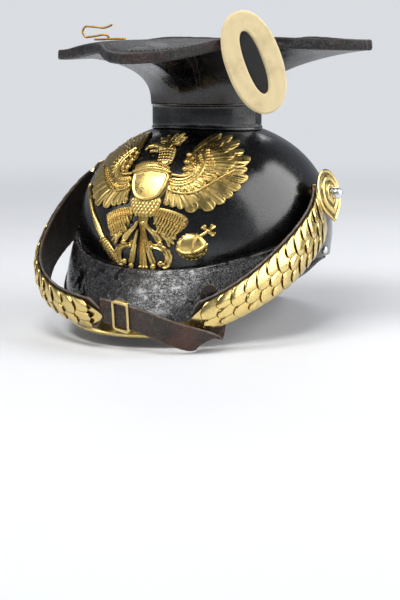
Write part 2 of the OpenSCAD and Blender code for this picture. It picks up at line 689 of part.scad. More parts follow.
// The chain leaves its boss at this turn forward of straight down
chain_turn = 32;
module teardrop(r, point, r1) {
    hull() {
        circle(r = r, $fn = 32);
        translate([point - r1, 0]) circle(r = r1, $fn = 16);
    }
}
module rosette(s) {
    color(BRASS) side_of(s) difference() {
        at_boss(loop_w + rosette_c) rotate([0, 0, -chain_turn]) rotate([0, -rosette_tilt, 0])
            rotate([0, 0, chain_turn + rosette_lean]) {
            linear_extrude(rosette_h * 0.4375) teardrop(rosette_r, rosette_point, 3);
            linear_extrude(rosette_h * 0.75) teardrop(rosette_r * 0.76, rosette_point * 0.78, 2);
            linear_extrude(rosette_h) teardrop(rosette_r * 0.5, rosette_point * 0.52, 1.4);
        }
        at_boss(loop_w) cylinder(d = shaft_d + 2 * fit, h = 2 * cut, $fn = 48);
    }
}
end_point = 1.5;
end_curve = 7.5;
module end_plate(s) {
    root = chain_len(s) - end_len;
    cols = [for (j = [0 : 8]) -1 + j / 4];
    function at(x, q, c) = let (
        d = root + (end_len + end_point - end_curve * pow(abs(x), 2.2)) * q,
        b = x * chain_w(s, d) / 2 * (1 - 0.3 * q)
    ) chain_point(s, d, b, lining_t + clear + crown(s, d, b) * (1 - 0.5 * q) + c);
    color(BRASS) sheet(
        [for (x = cols) [for (q = [0, 0.5, 1]) at(s * x, q, scale_t)]],
        [for (x = cols) [for (q = [0, 0.5, 1]) at(s * x, q, 0)]]
    );
}

// The strap runs on from the right chain, folds below the left chain and ends behind it
strap_gap = 2.2;
strap_start = chain_point(-1, right_chain, 0, strap_t / 2 + 2 * fit) + way_dir(-1, right_chain) * strap_gap
    + [0, -0.074, 0.18] * strap_w;
strap_run = unit([1, -0.05, -0.165]);
strap_up = unit([0.2, -0.36, 1]);
buckle_at = strap_start + strap_run * 0.895 * strap_w;
// A place near the left chain's end, in widths of the strap
function by_left_chain(d, b, c) = chain_point(1, left_chain + d * strap_w, b * strap_w, c * strap_w);
strap_ways = [
    [strap_start, way_up(-1, right_chain)],
    [strap_start + strap_run * 0.21 * strap_w, strap_up],
    [buckle_at, strap_up],
    [strap_start + strap_run * 1.58 * strap_w, strap_up],
    [strap_start + strap_run * 1.98 * strap_w + [0, 0.063, -0.053] * strap_w, strap_up],
    [by_left_chain(0.6, -0.16, 0.6), unit([0.3, -0.3, 1])],
    [by_left_chain(-0.08, -0.7, 0.5), unit([0.75, 0.2, 0.65])],
    [by_left_chain(-0.47, -0.89, 0.08), unit([1, 0.6, 0.1])],
    [by_left_chain(-0.8, -0.42, -0.22), unit([1, 0.85, 0])],
    [by_left_chain(-0.88, 0.42, -0.225), unit([1, 1, -0.1])],
    [by_left_chain(-0.94, 1, -0.225), unit([1, 1, -0.1])]
];
function spline(a, b, c, d, t) = 0.5 * (2 * b + (c - a) * t + (2 * a - 5 * b + 4 * c - d) * t * t
    + (3 * b - a - 3 * c + d) * t * t * t);
function strap_at(x) = let (
    last = len(strap_ways) - 1, i = min(floor(x), last - 1), t = x - i,
    w = [for (k = [-1 : 2]) strap_ways[clamp(i + k, 0, last)]]
) [spline(w[0][0], w[1][0], w[2][0], w[3][0], t), unit(lerp(w[1][1], w[2][1], t))];
module chin_strap() {
    stops = [for (x = [0 : 0.25 : len(strap_ways) - 1]) x];
    color(LEATHER) skin([for (x = stops)
        let (p = strap_at(x), h = 0.02, ahead = strap_at(min(x + h, len(strap_ways) - 1)),
             back = strap_at(max(x - h, 0)), v = unit(ahead[0] - back[0]), n = unit(cross(v, p[1])),
             w = cross(n, v) * strap_w / 2 * (x > len(strap_ways) - 1.3 ? 0.7 : 1), o = n * strap_t / 2)
            [p[0] - w + o, p[0] + w + o, p[0] + w - o, p[0] - w - o]]);
}
// The buckle rides on the strap's straight run: two bars in front, a hidden one behind
buckle_gap = 0.5;
module in_buckle_frame() {
    v = strap_run;
    n = unit(cross(v, strap_up));
    u = cross(n, v);
    p = buckle_at;
    multmatrix([[v[0], u[0], n[0], p[0]], [v[1], u[1], n[1], p[1]], [v[2], u[2], n[2], p[2]]]) children();
}
module buckle_frame() {
    inner = strap_w / 2 + buckle_gap;
    front = strap_t / 2 + buckle_gap;
    color(BRASS) in_buckle_frame() {
        for (x = [-1, 1]) translate([x * (buckle_l - buckle_bar) / 2 - buckle_bar / 2,
            -inner - buckle_bar, front])
            cube([buckle_bar, 2 * (inner + buckle_bar), buckle_t]);
        for (y = [-1, 1]) translate([-buckle_l / 2, y * (inner + buckle_bar / 2) - buckle_bar / 2,
            -front - buckle_t])
            cube([buckle_l, buckle_bar, 2 * (front + buckle_t)]);
        translate([-buckle_bar / 2, -inner - eps, -front - buckle_t])
            cube([buckle_bar, 2 * (inner + eps), buckle_t]);
    }
}

// The field badge leans on the board's front left edge; its tang drops into a socket
badge_gap = 4;
badge_out = board_out(45) + badge_gap + badge_t / 2;
socket_d = 5.6;
collar_d = socket_d + 3;
// The socket is closed this far below the tang
socket_over = 7;
tang_back = 15;
socket_floor = 1.2;
module in_badge_frame() {
    translate([badge_out * sin(45), -badge_out * cos(45), badge_z]) rotate([90, 0, 45])
        translate([badge_shift, 0, 0]) rotate([0, 0, badge_lean]) children();
}
tang_top = 27;
// Where the socket's collar rests on the board, below the tang's bend
collar_at = -(badge_z + tang_top * cos(badge_lean) - board_point(45, 0.9, 0)[2]
    - collar_d / 2 * sin(badge_lean) - clear) / cos(badge_lean);
// Along the tang's line: Z runs up it from a height over the badge's centre
module tang_line(h) {
    translate([0, tang_top + h, -tang_back]) rotate([-90, 0, 0]) children();
}
module badge_ring() {
    color(CREAM) in_badge_frame() translate([0, 0, -badge_t / 2]) linear_extrude(badge_t) difference() {
        polygon(oval(badge_w, badge_h, 2.2, 64));
        polygon(oval(badge_in_w, badge_in_h, 2.2, 48));
    }
}
module badge_centre() {
    color(BLACK) in_badge_frame() translate([0, 0, -badge_t / 2]) linear_extrude(badge_t * 0.7)
        polygon(oval(badge_in_w - 2 * fit, badge_in_h - 2 * fit, 2.2, 48));
}
module badge_tang() {
    back = -badge_t / 2 - fit;
    color(BRASS) in_badge_frame() {
        translate([0, 0, back - 0.8]) linear_extrude(0.8) polygon(oval(badge_w - 12, badge_h - 10, 2.2,
            48));
        translate([0, tang_top, -tang_back]) cylinder(d = tang_d, h = tang_back + back, $fn = 32);
        tang_line(-tang_depth - 5) cylinder(d = tang_d, h = tang_depth + 5 + tang_d / 2, $fn = 32);
    }
}
module badge_socket() {
    low = -tang_depth - socket_over;
    color(BRASS) in_badge_frame() tang_line(low) difference() {
        union() {
            cylinder(d = socket_d, h = collar_at + 1 - low, $fn = 32);
            translate([0, 0, collar_at - low]) cylinder(d = collar_d, h = 1, $fn = 32);
        }
        translate([0, 0, socket_floor]) cylinder(d = tang_d + fit, h = 2 * tang_depth, $fn = 32);
    }
}

// The cap line hook: wire bent back on itself over a flat eye, which lies on the board by the right corner
hook_in = 22.5;
hook_x = -board_r + hook_in;
hook_rise = hook_gap + hook_d;
hook_base = -hook_rise - 1.8;
hook_z = board_point(270, 0.68, 0)[2] + hook_d / 2 + clear - hook_base;
hook_way = concat(
    [[hook_l, 0, 1.2], [hook_l * 0.86, 0, -0.4], [hook_l * 0.7, 0, -1.2], [hook_l * 0.5, 0, -0.6]],
    [for (a = [90 : 22.5 : 270]) [hook_rise / 2 * (cos(a) + 1) + 1, 0, hook_rise / 2 * (sin(a) - 1)]],
    [[hook_l * 0.5, 0, -hook_rise + 1], [hook_l * 0.68, 0.2, -hook_rise + 1.9], [hook_l * 0.8, 0.8,
        -hook_rise + 1.5]],
    [[hook_l * 0.85, 1.6, -hook_rise], [hook_l * 0.8, 2.3, hook_base + 0.5], [hook_l * 0.66, 2.6,
        hook_base]],
    [for (a = [90 : 30 : 270]) [hook_l * 0.56 + 2.6 * cos(a), 2.6 * sin(a), hook_base]],
    [for (a = [-90 : 30 : 90]) [hook_l * 1.3 + 2.6 * cos(a), 2.6 * sin(a), hook_base + 0.6]],
    [[hook_l * 0.95, 2.6, hook_base + 0.4]]
);
module cap_line_hook() {
    last = len(hook_way) - 1;
    color(BRASS) translate([hook_x, 0, hook_z]) skin([for (i = [0 : last])
        let (v = unit(hook_way[min(i + 1, last)] - hook_way[max(i - 1, 0)]),
             n = unit(cross(v, abs(v[1]) > 0.9 ? [0, 0, 1] : [0, 1, 0])), m = cross(v, n))
            [for (a = [0 : 45 : 315]) hook_way[i] + (n * cos(a) + m * sin(a)) * hook_d / 2]]);
}

skull();
neck();
neck_flare();
mortarboard();
board_welt();
front_visor();
visor_trim();
rear_peak();
front_plate();
plate_studs();
plate_nuts();
sweatband();
lining_tongues();
boss_posts();
boss_washers();
boss_nuts();
dome_nuts();
side_studs();
badge_socket();
badge_ring();
badge_centre();
badge_tang();
cap_line_hook();
chain_lining(1);  // left_lining
chain_lining(-1);  // right_lining
rosette(1);  // left_rosette
rosette(-1);  // right_rosette
end_plate(1);  // left_end_plate
end_plate(-1);  // right_end_plate
chin_strap();
buckle_frame();
for (i = [1 : left_count]) chain_scale(1, i);
for (i = [1 : right_count]) chain_scale(-1, i);
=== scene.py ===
"""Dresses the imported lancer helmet: lacquered leather, brass, chinscales, strap and badge."""

import sys

import json
import logging
import math
from dataclasses import dataclass, field
from enum import Enum
from typing import Callable, Sequence

import bpy
import numpy as np
from mathutils import Matrix, Vector

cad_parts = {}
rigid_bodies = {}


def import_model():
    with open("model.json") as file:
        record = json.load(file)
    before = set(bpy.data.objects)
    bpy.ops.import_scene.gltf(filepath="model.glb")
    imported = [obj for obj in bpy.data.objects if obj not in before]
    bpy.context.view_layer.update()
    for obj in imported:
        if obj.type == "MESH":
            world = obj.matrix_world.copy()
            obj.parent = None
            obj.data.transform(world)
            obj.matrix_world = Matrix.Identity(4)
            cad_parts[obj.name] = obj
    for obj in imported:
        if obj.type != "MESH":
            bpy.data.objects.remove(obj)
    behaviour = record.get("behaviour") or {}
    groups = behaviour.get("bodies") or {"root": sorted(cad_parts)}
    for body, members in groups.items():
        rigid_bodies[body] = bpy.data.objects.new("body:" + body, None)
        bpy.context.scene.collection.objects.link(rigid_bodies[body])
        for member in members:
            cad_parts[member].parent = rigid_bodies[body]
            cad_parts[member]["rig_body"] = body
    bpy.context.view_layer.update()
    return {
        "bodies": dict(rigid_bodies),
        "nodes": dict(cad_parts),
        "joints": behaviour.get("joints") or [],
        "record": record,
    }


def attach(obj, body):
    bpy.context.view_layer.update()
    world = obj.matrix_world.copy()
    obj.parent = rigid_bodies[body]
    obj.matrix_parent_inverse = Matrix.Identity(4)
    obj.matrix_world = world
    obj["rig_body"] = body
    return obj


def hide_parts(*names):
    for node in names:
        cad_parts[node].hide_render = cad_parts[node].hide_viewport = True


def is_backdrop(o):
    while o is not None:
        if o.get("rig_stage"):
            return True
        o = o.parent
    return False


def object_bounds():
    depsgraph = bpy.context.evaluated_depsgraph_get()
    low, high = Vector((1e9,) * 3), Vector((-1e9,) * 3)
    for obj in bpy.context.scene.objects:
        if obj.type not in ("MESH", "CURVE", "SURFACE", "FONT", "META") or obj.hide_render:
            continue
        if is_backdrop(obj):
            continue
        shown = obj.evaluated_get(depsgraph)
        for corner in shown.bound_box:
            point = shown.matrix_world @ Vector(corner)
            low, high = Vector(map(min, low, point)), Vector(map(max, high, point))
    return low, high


LOG = logging.getLogger("lancer_helmet")
MM = 0.001
TAU = 2 * math.pi
UNDERSIDE = 0.35  # lift of the underside of the plate's raised pieces, in millimetres
Array = np.ndarray
Socket = bpy.types.NodeSocket
Node = bpy.types.Node
Tree = bpy.types.NodeTree
Material = bpy.types.Material
Object = bpy.types.Object
Colour = tuple[float, float, float, float]
Curve = Callable[[Array], Array]


# ---- Shapes: numbers in millimetres, in the frame of the CAD source ----


def smooth(low: float, high: float, x: Array) -> Array:
    """Eases from 0 to 1 as x goes from low to high."""
    t = np.clip((np.asarray(x, float) - low) / (high - low), 0, 1)
    return t * t * (3 - 2 * t)


def full_turn(count: int) -> Array:
    """Even angles round a full turn."""
    return np.linspace(0, TAU, count, endpoint=False)


def unit(v: Array) -> Array:
    """Scales vectors to length 1."""
    v = np.asarray(v, float)
    return v / np.linalg.norm(v, axis=-1, keepdims=True)


def bell(x: Array, middle: float, width: float) -> Array:
    """A rounded ridge of height 1 at middle."""
    return np.exp(-(((np.asarray(x, float) - middle) / width) ** 2))


def spread(*parts: Array | float) -> Array:
    """Puts coordinates of matching shapes together into points."""
    return np.stack(np.broadcast_arrays(*parts), -1)


def around(a: Array, r: Array, z: Array | float, length: Array | float | None = None) -> Array:
    """Points at turns from the front, at a distance from the upright axis and a height."""
    return spread(r * np.sin(a), -(r if length is None else length) * np.cos(a), z)


def lifted(flat: Array, height: Array | float) -> Array:
    """Flat points, given a third coordinate."""
    return np.concatenate([flat, np.broadcast_to(height, len(flat))[:, None]], 1)


def crest(x: Array, power: int = 2, least: float = 0.0) -> Array:
    """A rounded crest of height 1, from its middle at 0 to its edge at 1."""
    return np.sqrt(np.clip(1 - x**power, least, 1))


def spline(a: Array, b: Array, c: Array, d: Array, t: Array) -> Array:
    """Points of the rounded line between b and c, whose neighbours are a and d."""
    return 0.5 * (2 * b + (c - a) * t + (2 * a - 5 * b + 4 * c - d) * t**2 + (3 * b - a - 3 * c + d) * t**3)


def signed_power(x: Array, power: float) -> Array:
    """A power that keeps the sign, which makes round outlines squarer or more pointed."""
    return np.sign(x) * np.abs(x) ** power


def smooth_line(points: Sequence[Sequence[float]], count: int) -> Array:
    """Draws an even, rounded line through points.

    Args:
        points: The places that the line passes, in 2 or 3 coordinates.
        count: How many points the line gets.

    Returns:
        The line's points, evenly spaced.
    """
    p = np.asarray(points, float)
    p = np.vstack([2 * p[0] - p[1], p, 2 * p[-1] - p[-2]])
    t = np.linspace(0, len(p) - 3, 24 * (len(p) - 3) + 1)
    i = np.minimum(t.astype(int), len(p) - 4)
    f = (t - i)[:, None]
    q = spline(p[i], p[i + 1], p[i + 2], p[i + 3], f)
    gone = length_along(q)
    at = np.linspace(0, gone[-1], count)
    return np.stack([np.interp(at, gone, q[:, k]) for k in range(q.shape[1])], -1)


def length_along(points: Array) -> Array:
    """Distance gone along a line, at each of its points."""
    steps = np.linalg.norm(np.diff(points, axis=0), axis=-1)
    return np.concatenate([[0], np.cumsum(steps)])


@dataclass
class Form:
    """One or more closed skins: their points, faces, surface places and relief."""

    points: Array
    quads: Array
    uvs: Array
    relief: Array

    @staticmethod
    def joined(forms: Sequence["Form"]) -> "Form":
        """Puts several forms into one.

        Args:
            forms: The forms to join.

        Returns:
            One form that holds them all.
        """
        starts = np.cumsum([0] + [len(f.points) for f in forms[:-1]])
        return Form(
            np.concatenate([f.points for f in forms]),
            np.concatenate([f.quads + s for f, s in zip(forms, starts)]),
            np.concatenate([f.uvs for f in forms]),
            np.concatenate([f.relief for f in forms]),
        )


def loft(
    rings: Array,
    wrap: bool = False,
    along: Array | None = None,
    across: Array | None = None,
    relief: Array | None = None,
) -> Form:
    """Closes a skin over rings that all have the same even number of points.

    Args:
        rings: Points, as rings by points by 3.
        wrap: True where the last ring joins the first, otherwise the ends are closed.
        along: Surface place of each ring, in millimetres.
        across: Surface place of each point of a ring, in millimetres.
        relief: How far each point stands out, 0 in a hollow and 1 on a crest.

    Returns:
        The closed form, with its faces outwards.
    """
    rings = np.asarray(rings, float)
    n, m = rings.shape[:2]
    a = np.arange(n, dtype=float) if along is None else np.asarray(along, float)
    c = np.arange(m, dtype=float) if across is None else np.asarray(across, float)
    a = np.append(a, 2 * a[-1] - a[-2])
    c = np.append(c, 2 * c[-1] - c[-2])
    i, j = np.meshgrid(np.arange(n if wrap else n - 1), np.arange(m), indexing="ij")
    k, q = (i + 1) % n, (j + 1) % m
    quads = np.stack([i * m + j, k * m + j, k * m + q, i * m + q], -1).reshape(-1, 4)
    uvs = np.stack(
        [np.stack([a[i + di], c[j + dj]], -1) for di, dj in ((0, 0), (1, 0), (1, 1), (0, 1))], -2
    ).reshape(-1, 4, 2)
    if not wrap:
        j = np.arange(m // 2 - 1)
        cap = np.stack([j, j + 1, m - 2 - j, m - 1 - j], -1)
        far = cap[:, ::-1]
        ends = [(cap, 0), (far, n - 1)]
        quads = np.concatenate([quads] + [e + o * m for e, o in ends])
        uvs = np.concatenate([uvs] + [np.stack([np.full(e.shape, a[o]), c[e]], -1) for e, o in ends])
    points = rings.reshape(-1, 3)
    p = points[quads] - points.mean(0)
    volume = sum(np.einsum("ij,ij->i", p[:, 0], np.cross(p[:, b], p[:, b + 1])).sum() for b in (1, 2))
    if volume < 0:
        quads, uvs = quads[:, ::-1], uvs[:, ::-1]
    level = np.full((n, m), 0.5) if relief is None else np.broadcast_to(relief, (n, m))
    return Form(points, quads, uvs, level.reshape(-1).astype(float))


def sheet(
    front: Array,
    back: Array,
    along: Array | None = None,
    across: Array | None = None,
    relief: Array | None = None,
    rounding: float = 0.35,
    wrap: bool = False,
) -> Form:
    """A sheet with rounded long edges, from the points of its two faces.

    Args:
        front: Points of the outer face, as rows by columns by 3.
        back: Points of the inner face, in the same order.
        along: Surface place of each row.
        across: Surface place of each column.
        relief: Relief of the outer face's points.
        rounding: How far the edges bulge, as a share of the thickness.
        wrap: True where the last row joins the first.

    Returns:
        The closed sheet.
    """
    front, back = np.asarray(front, float), np.asarray(back, float)
    n, m = front.shape[:2]
    thick = np.linalg.norm(front - back, axis=-1)[:, [0, -1], None] * rounding
    first = (front[:, 0] + back[:, 0]) / 2 + unit(front[:, 0] - front[:, 1]) * thick[:, 0]
    last = (front[:, -1] + back[:, -1]) / 2 + unit(front[:, -1] - front[:, -2]) * thick[:, 1]
    rings = np.concatenate([first[:, None], front, last[:, None], back[:, ::-1]], 1)
    c = np.arange(m, dtype=float) if across is None else np.asarray(across, float)
    c = np.concatenate([[c[0]], c, [c[-1]], c[::-1]])
    r = np.full((n, m), 0.5) if relief is None else np.broadcast_to(relief, (n, m))
    # The back face gets lower relief, which brass finishes paint darker as shade under the sheet.
    r = np.concatenate([r[:, :1], r, r[:, -1:], r[:, ::-1] * 0.4], 1)
    return loft(rings, wrap, along, c, r)


def tube(path: Array, radius: Array | float, sides: int = 12, flat: float = 1.0,
         up: Array | None = None) -> Form:
    """A round or flattened rod along a line, with rounded ends.

    Args:
        path: The line's points.
        radius: The rod's radius, one number or one for each point.
        sides: Points round the rod.
        flat: The rod's height as a share of its width.
        up: The direction in which the height is measured.

    Returns:
        The closed rod.
    """
    path = np.asarray(path, float)
    r = np.broadcast_to(np.asarray(radius, float), (len(path),))
    v = unit(np.gradient(path, axis=0))
    side = np.cross(v, [0.31, 0.22, 0.92] if up is None else up)
    side = unit(side)
    high = np.cross(side, v)
    ends = [(0, -0.9, 0.35), (0, -0.55, 0.8)], [(-1, 0.55, 0.8), (-1, 0.9, 0.35)]
    b = full_turn(sides)

    def ring(i: int, shift: float, share: float) -> Array:
        """Points of one ring, shifted along the rod and scaled."""
        centre = path[i] + v[i] * shift * r[i]
        return centre + r[i] * share * (np.cos(b)[:, None] * side[i] + np.sin(b)[:, None] * high[i] * flat)

    middle = [ring(i, 0, 1) for i in range(len(path))]
    rings = [ring(*e) for e in ends[0]] + middle + [ring(*e) for e in ends[1]]
    gone = length_along(path)
    gone = np.concatenate([[gone[0] - 0.9 * r[0], gone[0] - 0.5 * r[0]], gone,
                           [gone[-1] + 0.5 * r[-1], gone[-1] + 0.9 * r[-1]]])
    # The side facing away from up gets lower relief, which brass finishes paint darker as shade under the
    # rod.
    relief = np.broadcast_to(0.55 + 0.45 * np.sin(b), (len(rings), sides))
    return loft(np.array(rings), along=gone, across=b * float(r.mean()), relief=relief)


def dish(lay: Callable[[Array, Array], Array], outline: Array, centre: Array, heights: Curve,
         rings: int = 12) -> Form:
    """A raised piece that rises from an outline round a centre, such as a medallion.

    Args:
        lay: Turns flat points and lifts into points in space.
        outline: The outline's points in the flat drawing.
        centre: The middle of the piece in the drawing.
        heights: The lift at each share of the way out, 0 to 1.
        rings: How many rings of points lie between the middle and the outline.

    Returns:
        The closed piece.
    """
    outline, centre = np.asarray(outline, float), np.asarray(centre, float)
    out = np.sin(np.linspace(0.02, 1, rings) * math.pi / 2)
    lifts = heights(out)
    top = [lay(centre + (outline - centre) * o, np.full(len(outline), h)) for o, h in zip(out, lifts)]
    under = [lay(centre + (outline - centre) * o, np.full(len(outline), UNDERSIDE)) for o in (1, 0.5, 0.03)]
    span = np.ptp(lifts) + 1e-6
    # Lower rings get lower relief and the underside none, which the brass paints as shade round the foot and
    # under the piece.
    level = np.concatenate([(lifts - lifts.min()) / span, [0, 0, 0]])
    places = np.concatenate([out, [1.05, 1.5, 1.9]]) * np.linalg.norm(outline - centre, axis=1).mean()
    return loft(np.array(top + under), along=places,
                relief=np.broadcast_to(level[:, None], (len(level), len(outline))))


def put_in_scene(name: str, data: bpy.types.ID) -> Object:
    """Makes an object of a mesh, lamp or camera, and shows it.

    Args:
        name: The object's name.
        data: Its mesh, lamp or camera.

    Returns:
        The object.
    """
    obj = bpy.data.objects.new(name, data)
    bpy.context.scene.collection.objects.link(obj)
    return obj


def make_piece(name: str, form: Form, finish: Material, sharp: float) -> Object:
    """Makes a mesh object of a form.

    Args:
        name: The object's name.
        form: Its points and faces.
        finish: Its material.
        sharp: Angle over which an edge stays sharp, in degrees.

    Returns:
        The object, at the origin.
    """
    mesh = bpy.data.meshes.new(name)
    mesh.from_pydata((form.points * MM).tolist(), [], form.quads.tolist())
    layer = mesh.uv_layers.new(name="surface")
    layer.data.foreach_set("uv", (form.uvs.reshape(-1, 2) * MM).reshape(-1).astype(np.float32))
    relief = mesh.attributes.new("relief", "FLOAT", "POINT")
    relief.data.foreach_set("value", form.relief.astype(np.float32))
    mesh.shade_smooth()
    mesh.set_sharp_from_angle(angle=math.radians(sharp))
    mesh.materials.append(finish)
    mesh.update()
    return put_in_scene(name, mesh)


@dataclass(frozen=True)
class HeadForm:
    """The skull's outer form, in the CAD source's sizes."""

    half_w: float = 95.0
    half_l: float = 109.0
    side_h: float = 22.0
    rise: float = 89.0
    fullness: float = 2.4
    waist: float = 0.025
    side_rise: float = 9.0
    nape_dip: float = 12.0
    wall: float = 3.0
    clear: float = 0.3

    def dome(self, turn: Array, climb: Array, off: Array | float = 0.0) -> Array:
        """Points of the dome at turns from the front and climbs, off the leather.

        Args:
            turn: Angles from the front.
            climb: Angles up from the widest height.
            off: Distance off the leather.

        Returns:
            The points.
        """
        wide, long = (self.half_w + off) * np.cos(climb), (self.half_l + off) * np.cos(climb)
        high = (self.rise + off) * np.sin(climb) ** (2 / self.fullness)
        return around(turn, wide, self.side_h + high, long)

    def side(self, turn: Array, z: Array, off: Array | float = 0.0) -> Array:
        """Points of the upright side below the widest height."""
        k = 1 - self.waist * (self.side_h - z) / self.side_h
        return around(turn, self.half_w * k + off, z, self.half_l * k + off)

    def edge(self, turn: Array) -> Array:
        """Height of the lower edge at a turn from the front."""
        return self.side_rise * np.sin(turn) ** 2 - self.nape_dip * ((1 - np.cos(turn)) / 2) ** 6

    def top_at(self, x: Array, y: Array) -> Array:
        """Height of the dome over a place."""
        share = 1 - (x / self.half_w) ** 2 - (y / self.half_l) ** 2
        return self.side_h + self.rise * np.maximum(share, 0) ** (1 / self.fullness)

    def facing(self, p: Array) -> Array:
        """Outward direction of the leather at points on it.

        Args:
            p: Points on the dome.

        Returns:
            A direction of length 1 at each.
        """
        high = np.maximum(p[..., 2] - self.side_h, 0) / self.rise
        steep = self.fullness / self.rise * high ** (self.fullness - 1)
        return unit(spread(2 * p[..., 0] / self.half_w**2, 2 * p[..., 1] / self.half_l**2, steep))

    def front_at(self, xz: Array, lift: Array | float) -> Array:
        """Places of a front drawing laid on the leather.

        Args:
            xz: Sideways and height coordinates of the drawing.
            lift: Distance off the leather.

        Returns:
            The points in space.
        """
        x, z = xz[..., 0], xz[..., 1]
        high = (np.maximum(z - self.side_h, 0) / self.rise) ** self.fullness
        k = 1 - self.waist * np.maximum(self.side_h - z, 0) / self.side_h
        y = -self.half_l * k * np.sqrt(np.maximum(1 - high - (x / self.half_w / k) ** 2, 1e-4))
        p = spread(x, y, z)
        return p + self.facing(p) * np.asarray(lift, float)[..., None]


HEAD = HeadForm()


# ---- Finishes ----


class Graph:
    """Adds nodes to one node tree."""

    def __init__(self, tree: Tree) -> None:
        """Keeps the tree."""
        self.tree = tree

    def add(self, kind: str, inputs: dict | None = None, out: int | str = 0, **settings: object) -> Socket:
        """Adds a node.

        Args:
            kind: The node's type.
            inputs: Values or sockets for its inputs, by name or number.
            out: The output that is wanted.
            settings: The node's own properties.

        Returns:
            The output socket.
        """
        node = self.tree.nodes.new(kind)
        for key, value in settings.items():
            setattr(node, key, value)
        for key, value in (inputs or {}).items():
            self.feed(node.inputs[key], value)
        return node.outputs[out] if len(node.outputs) else node

    def feed(self, socket: Socket, value: object) -> None:
        """Links a socket, or sets its plain value.

        Args:
            socket: The input.
            value: A socket to link, or a plain value.
        """
        if isinstance(value, Socket):
            self.tree.links.new(value, socket)
        else:
            socket.default_value = value

    def math(self, operation: str, a: object, b: object = 0.0, clamp: bool = False) -> Socket:
        """A math node."""
        return self.add("ShaderNodeMath", {0: a, 1: b}, operation=operation, use_clamp=clamp)

    def times(self, a: object, b: object, clamp: bool = False) -> Socket:
        """The product of two values."""
        return self.math("MULTIPLY", a, b, clamp)

    def plus(self, a: object, b: object, clamp: bool = False) -> Socket:
        """The sum of two values."""
        return self.math("ADD", a, b, clamp)

    def fit(self, value: object, low: float, high: float, to_low: float = 0.0,
            to_high: float = 1.0) -> Socket:
        """Eases a value from one range to another.

        Args:
            value: What is eased.
            low: Where the first range starts.
            high: Where it ends.
            to_low: Where the second range starts.
            to_high: Where it ends.

        Returns:
            The eased value.
        """
        return self.add(
            "ShaderNodeMapRange",
            {"Value": value, "From Min": low, "From Max": high, "To Min": to_low, "To Max": to_high},
            interpolation_type="SMOOTHSTEP",
        )

    def mix(self, share: object, a: object, b: object) -> Socket:
        """Mixes two colours."""
        return self.add("ShaderNodeMix", {0: share, 6: a, 7: b}, out=2, data_type="RGBA")

    def noise(self, place: object, scale: object, detail: float = 4.0, rough: float = 0.6,
              bend: float = 0.0) -> Socket:
        """A noise pattern.

        Args:
            place: Where the noise is read.
            scale: Its fineness.
            detail: Its layers.
            rough: How strong its finer layers are.
            bend: How far it is bent.

        Returns:
            Values of about 0 to 1.
        """
        return self.add(
            "ShaderNodeTexNoise",
            {"Vector": place, "Scale": scale, "Detail": detail, "Roughness": rough, "Distortion": bend},
        )

    def stretched(self, place: object, scale: tuple[float, float, float]) -> Socket:
        """A place pulled out along its axes."""
        return self.add("ShaderNodeMapping", {"Vector": place, "Scale": scale})


def colour(r: float, g: float, b: float) -> Colour:
    """A linear colour from screen values of 0 to 255."""
    return tuple((c / 255) ** 2.2 for c in (r, g, b)) + (1.0,)


def shade(base: Colour, share: float, more: float = 0.0) -> Colour:
    """A darker or paler form of a colour."""
    return tuple(c * share + more for c in base[:3]) + (1.0,)


def first_node(tree: Tree, kind: str) -> Node:
    """The first node of a type in a tree."""
    return next(n for n in tree.nodes if n.type == kind)


class Effect(Enum):
    """The surface effects that several finishes share."""

    CRACKLE = "crackle"
    WEAR = "wear"
    GRAIN = "grain"
    WEAVE = "weave"


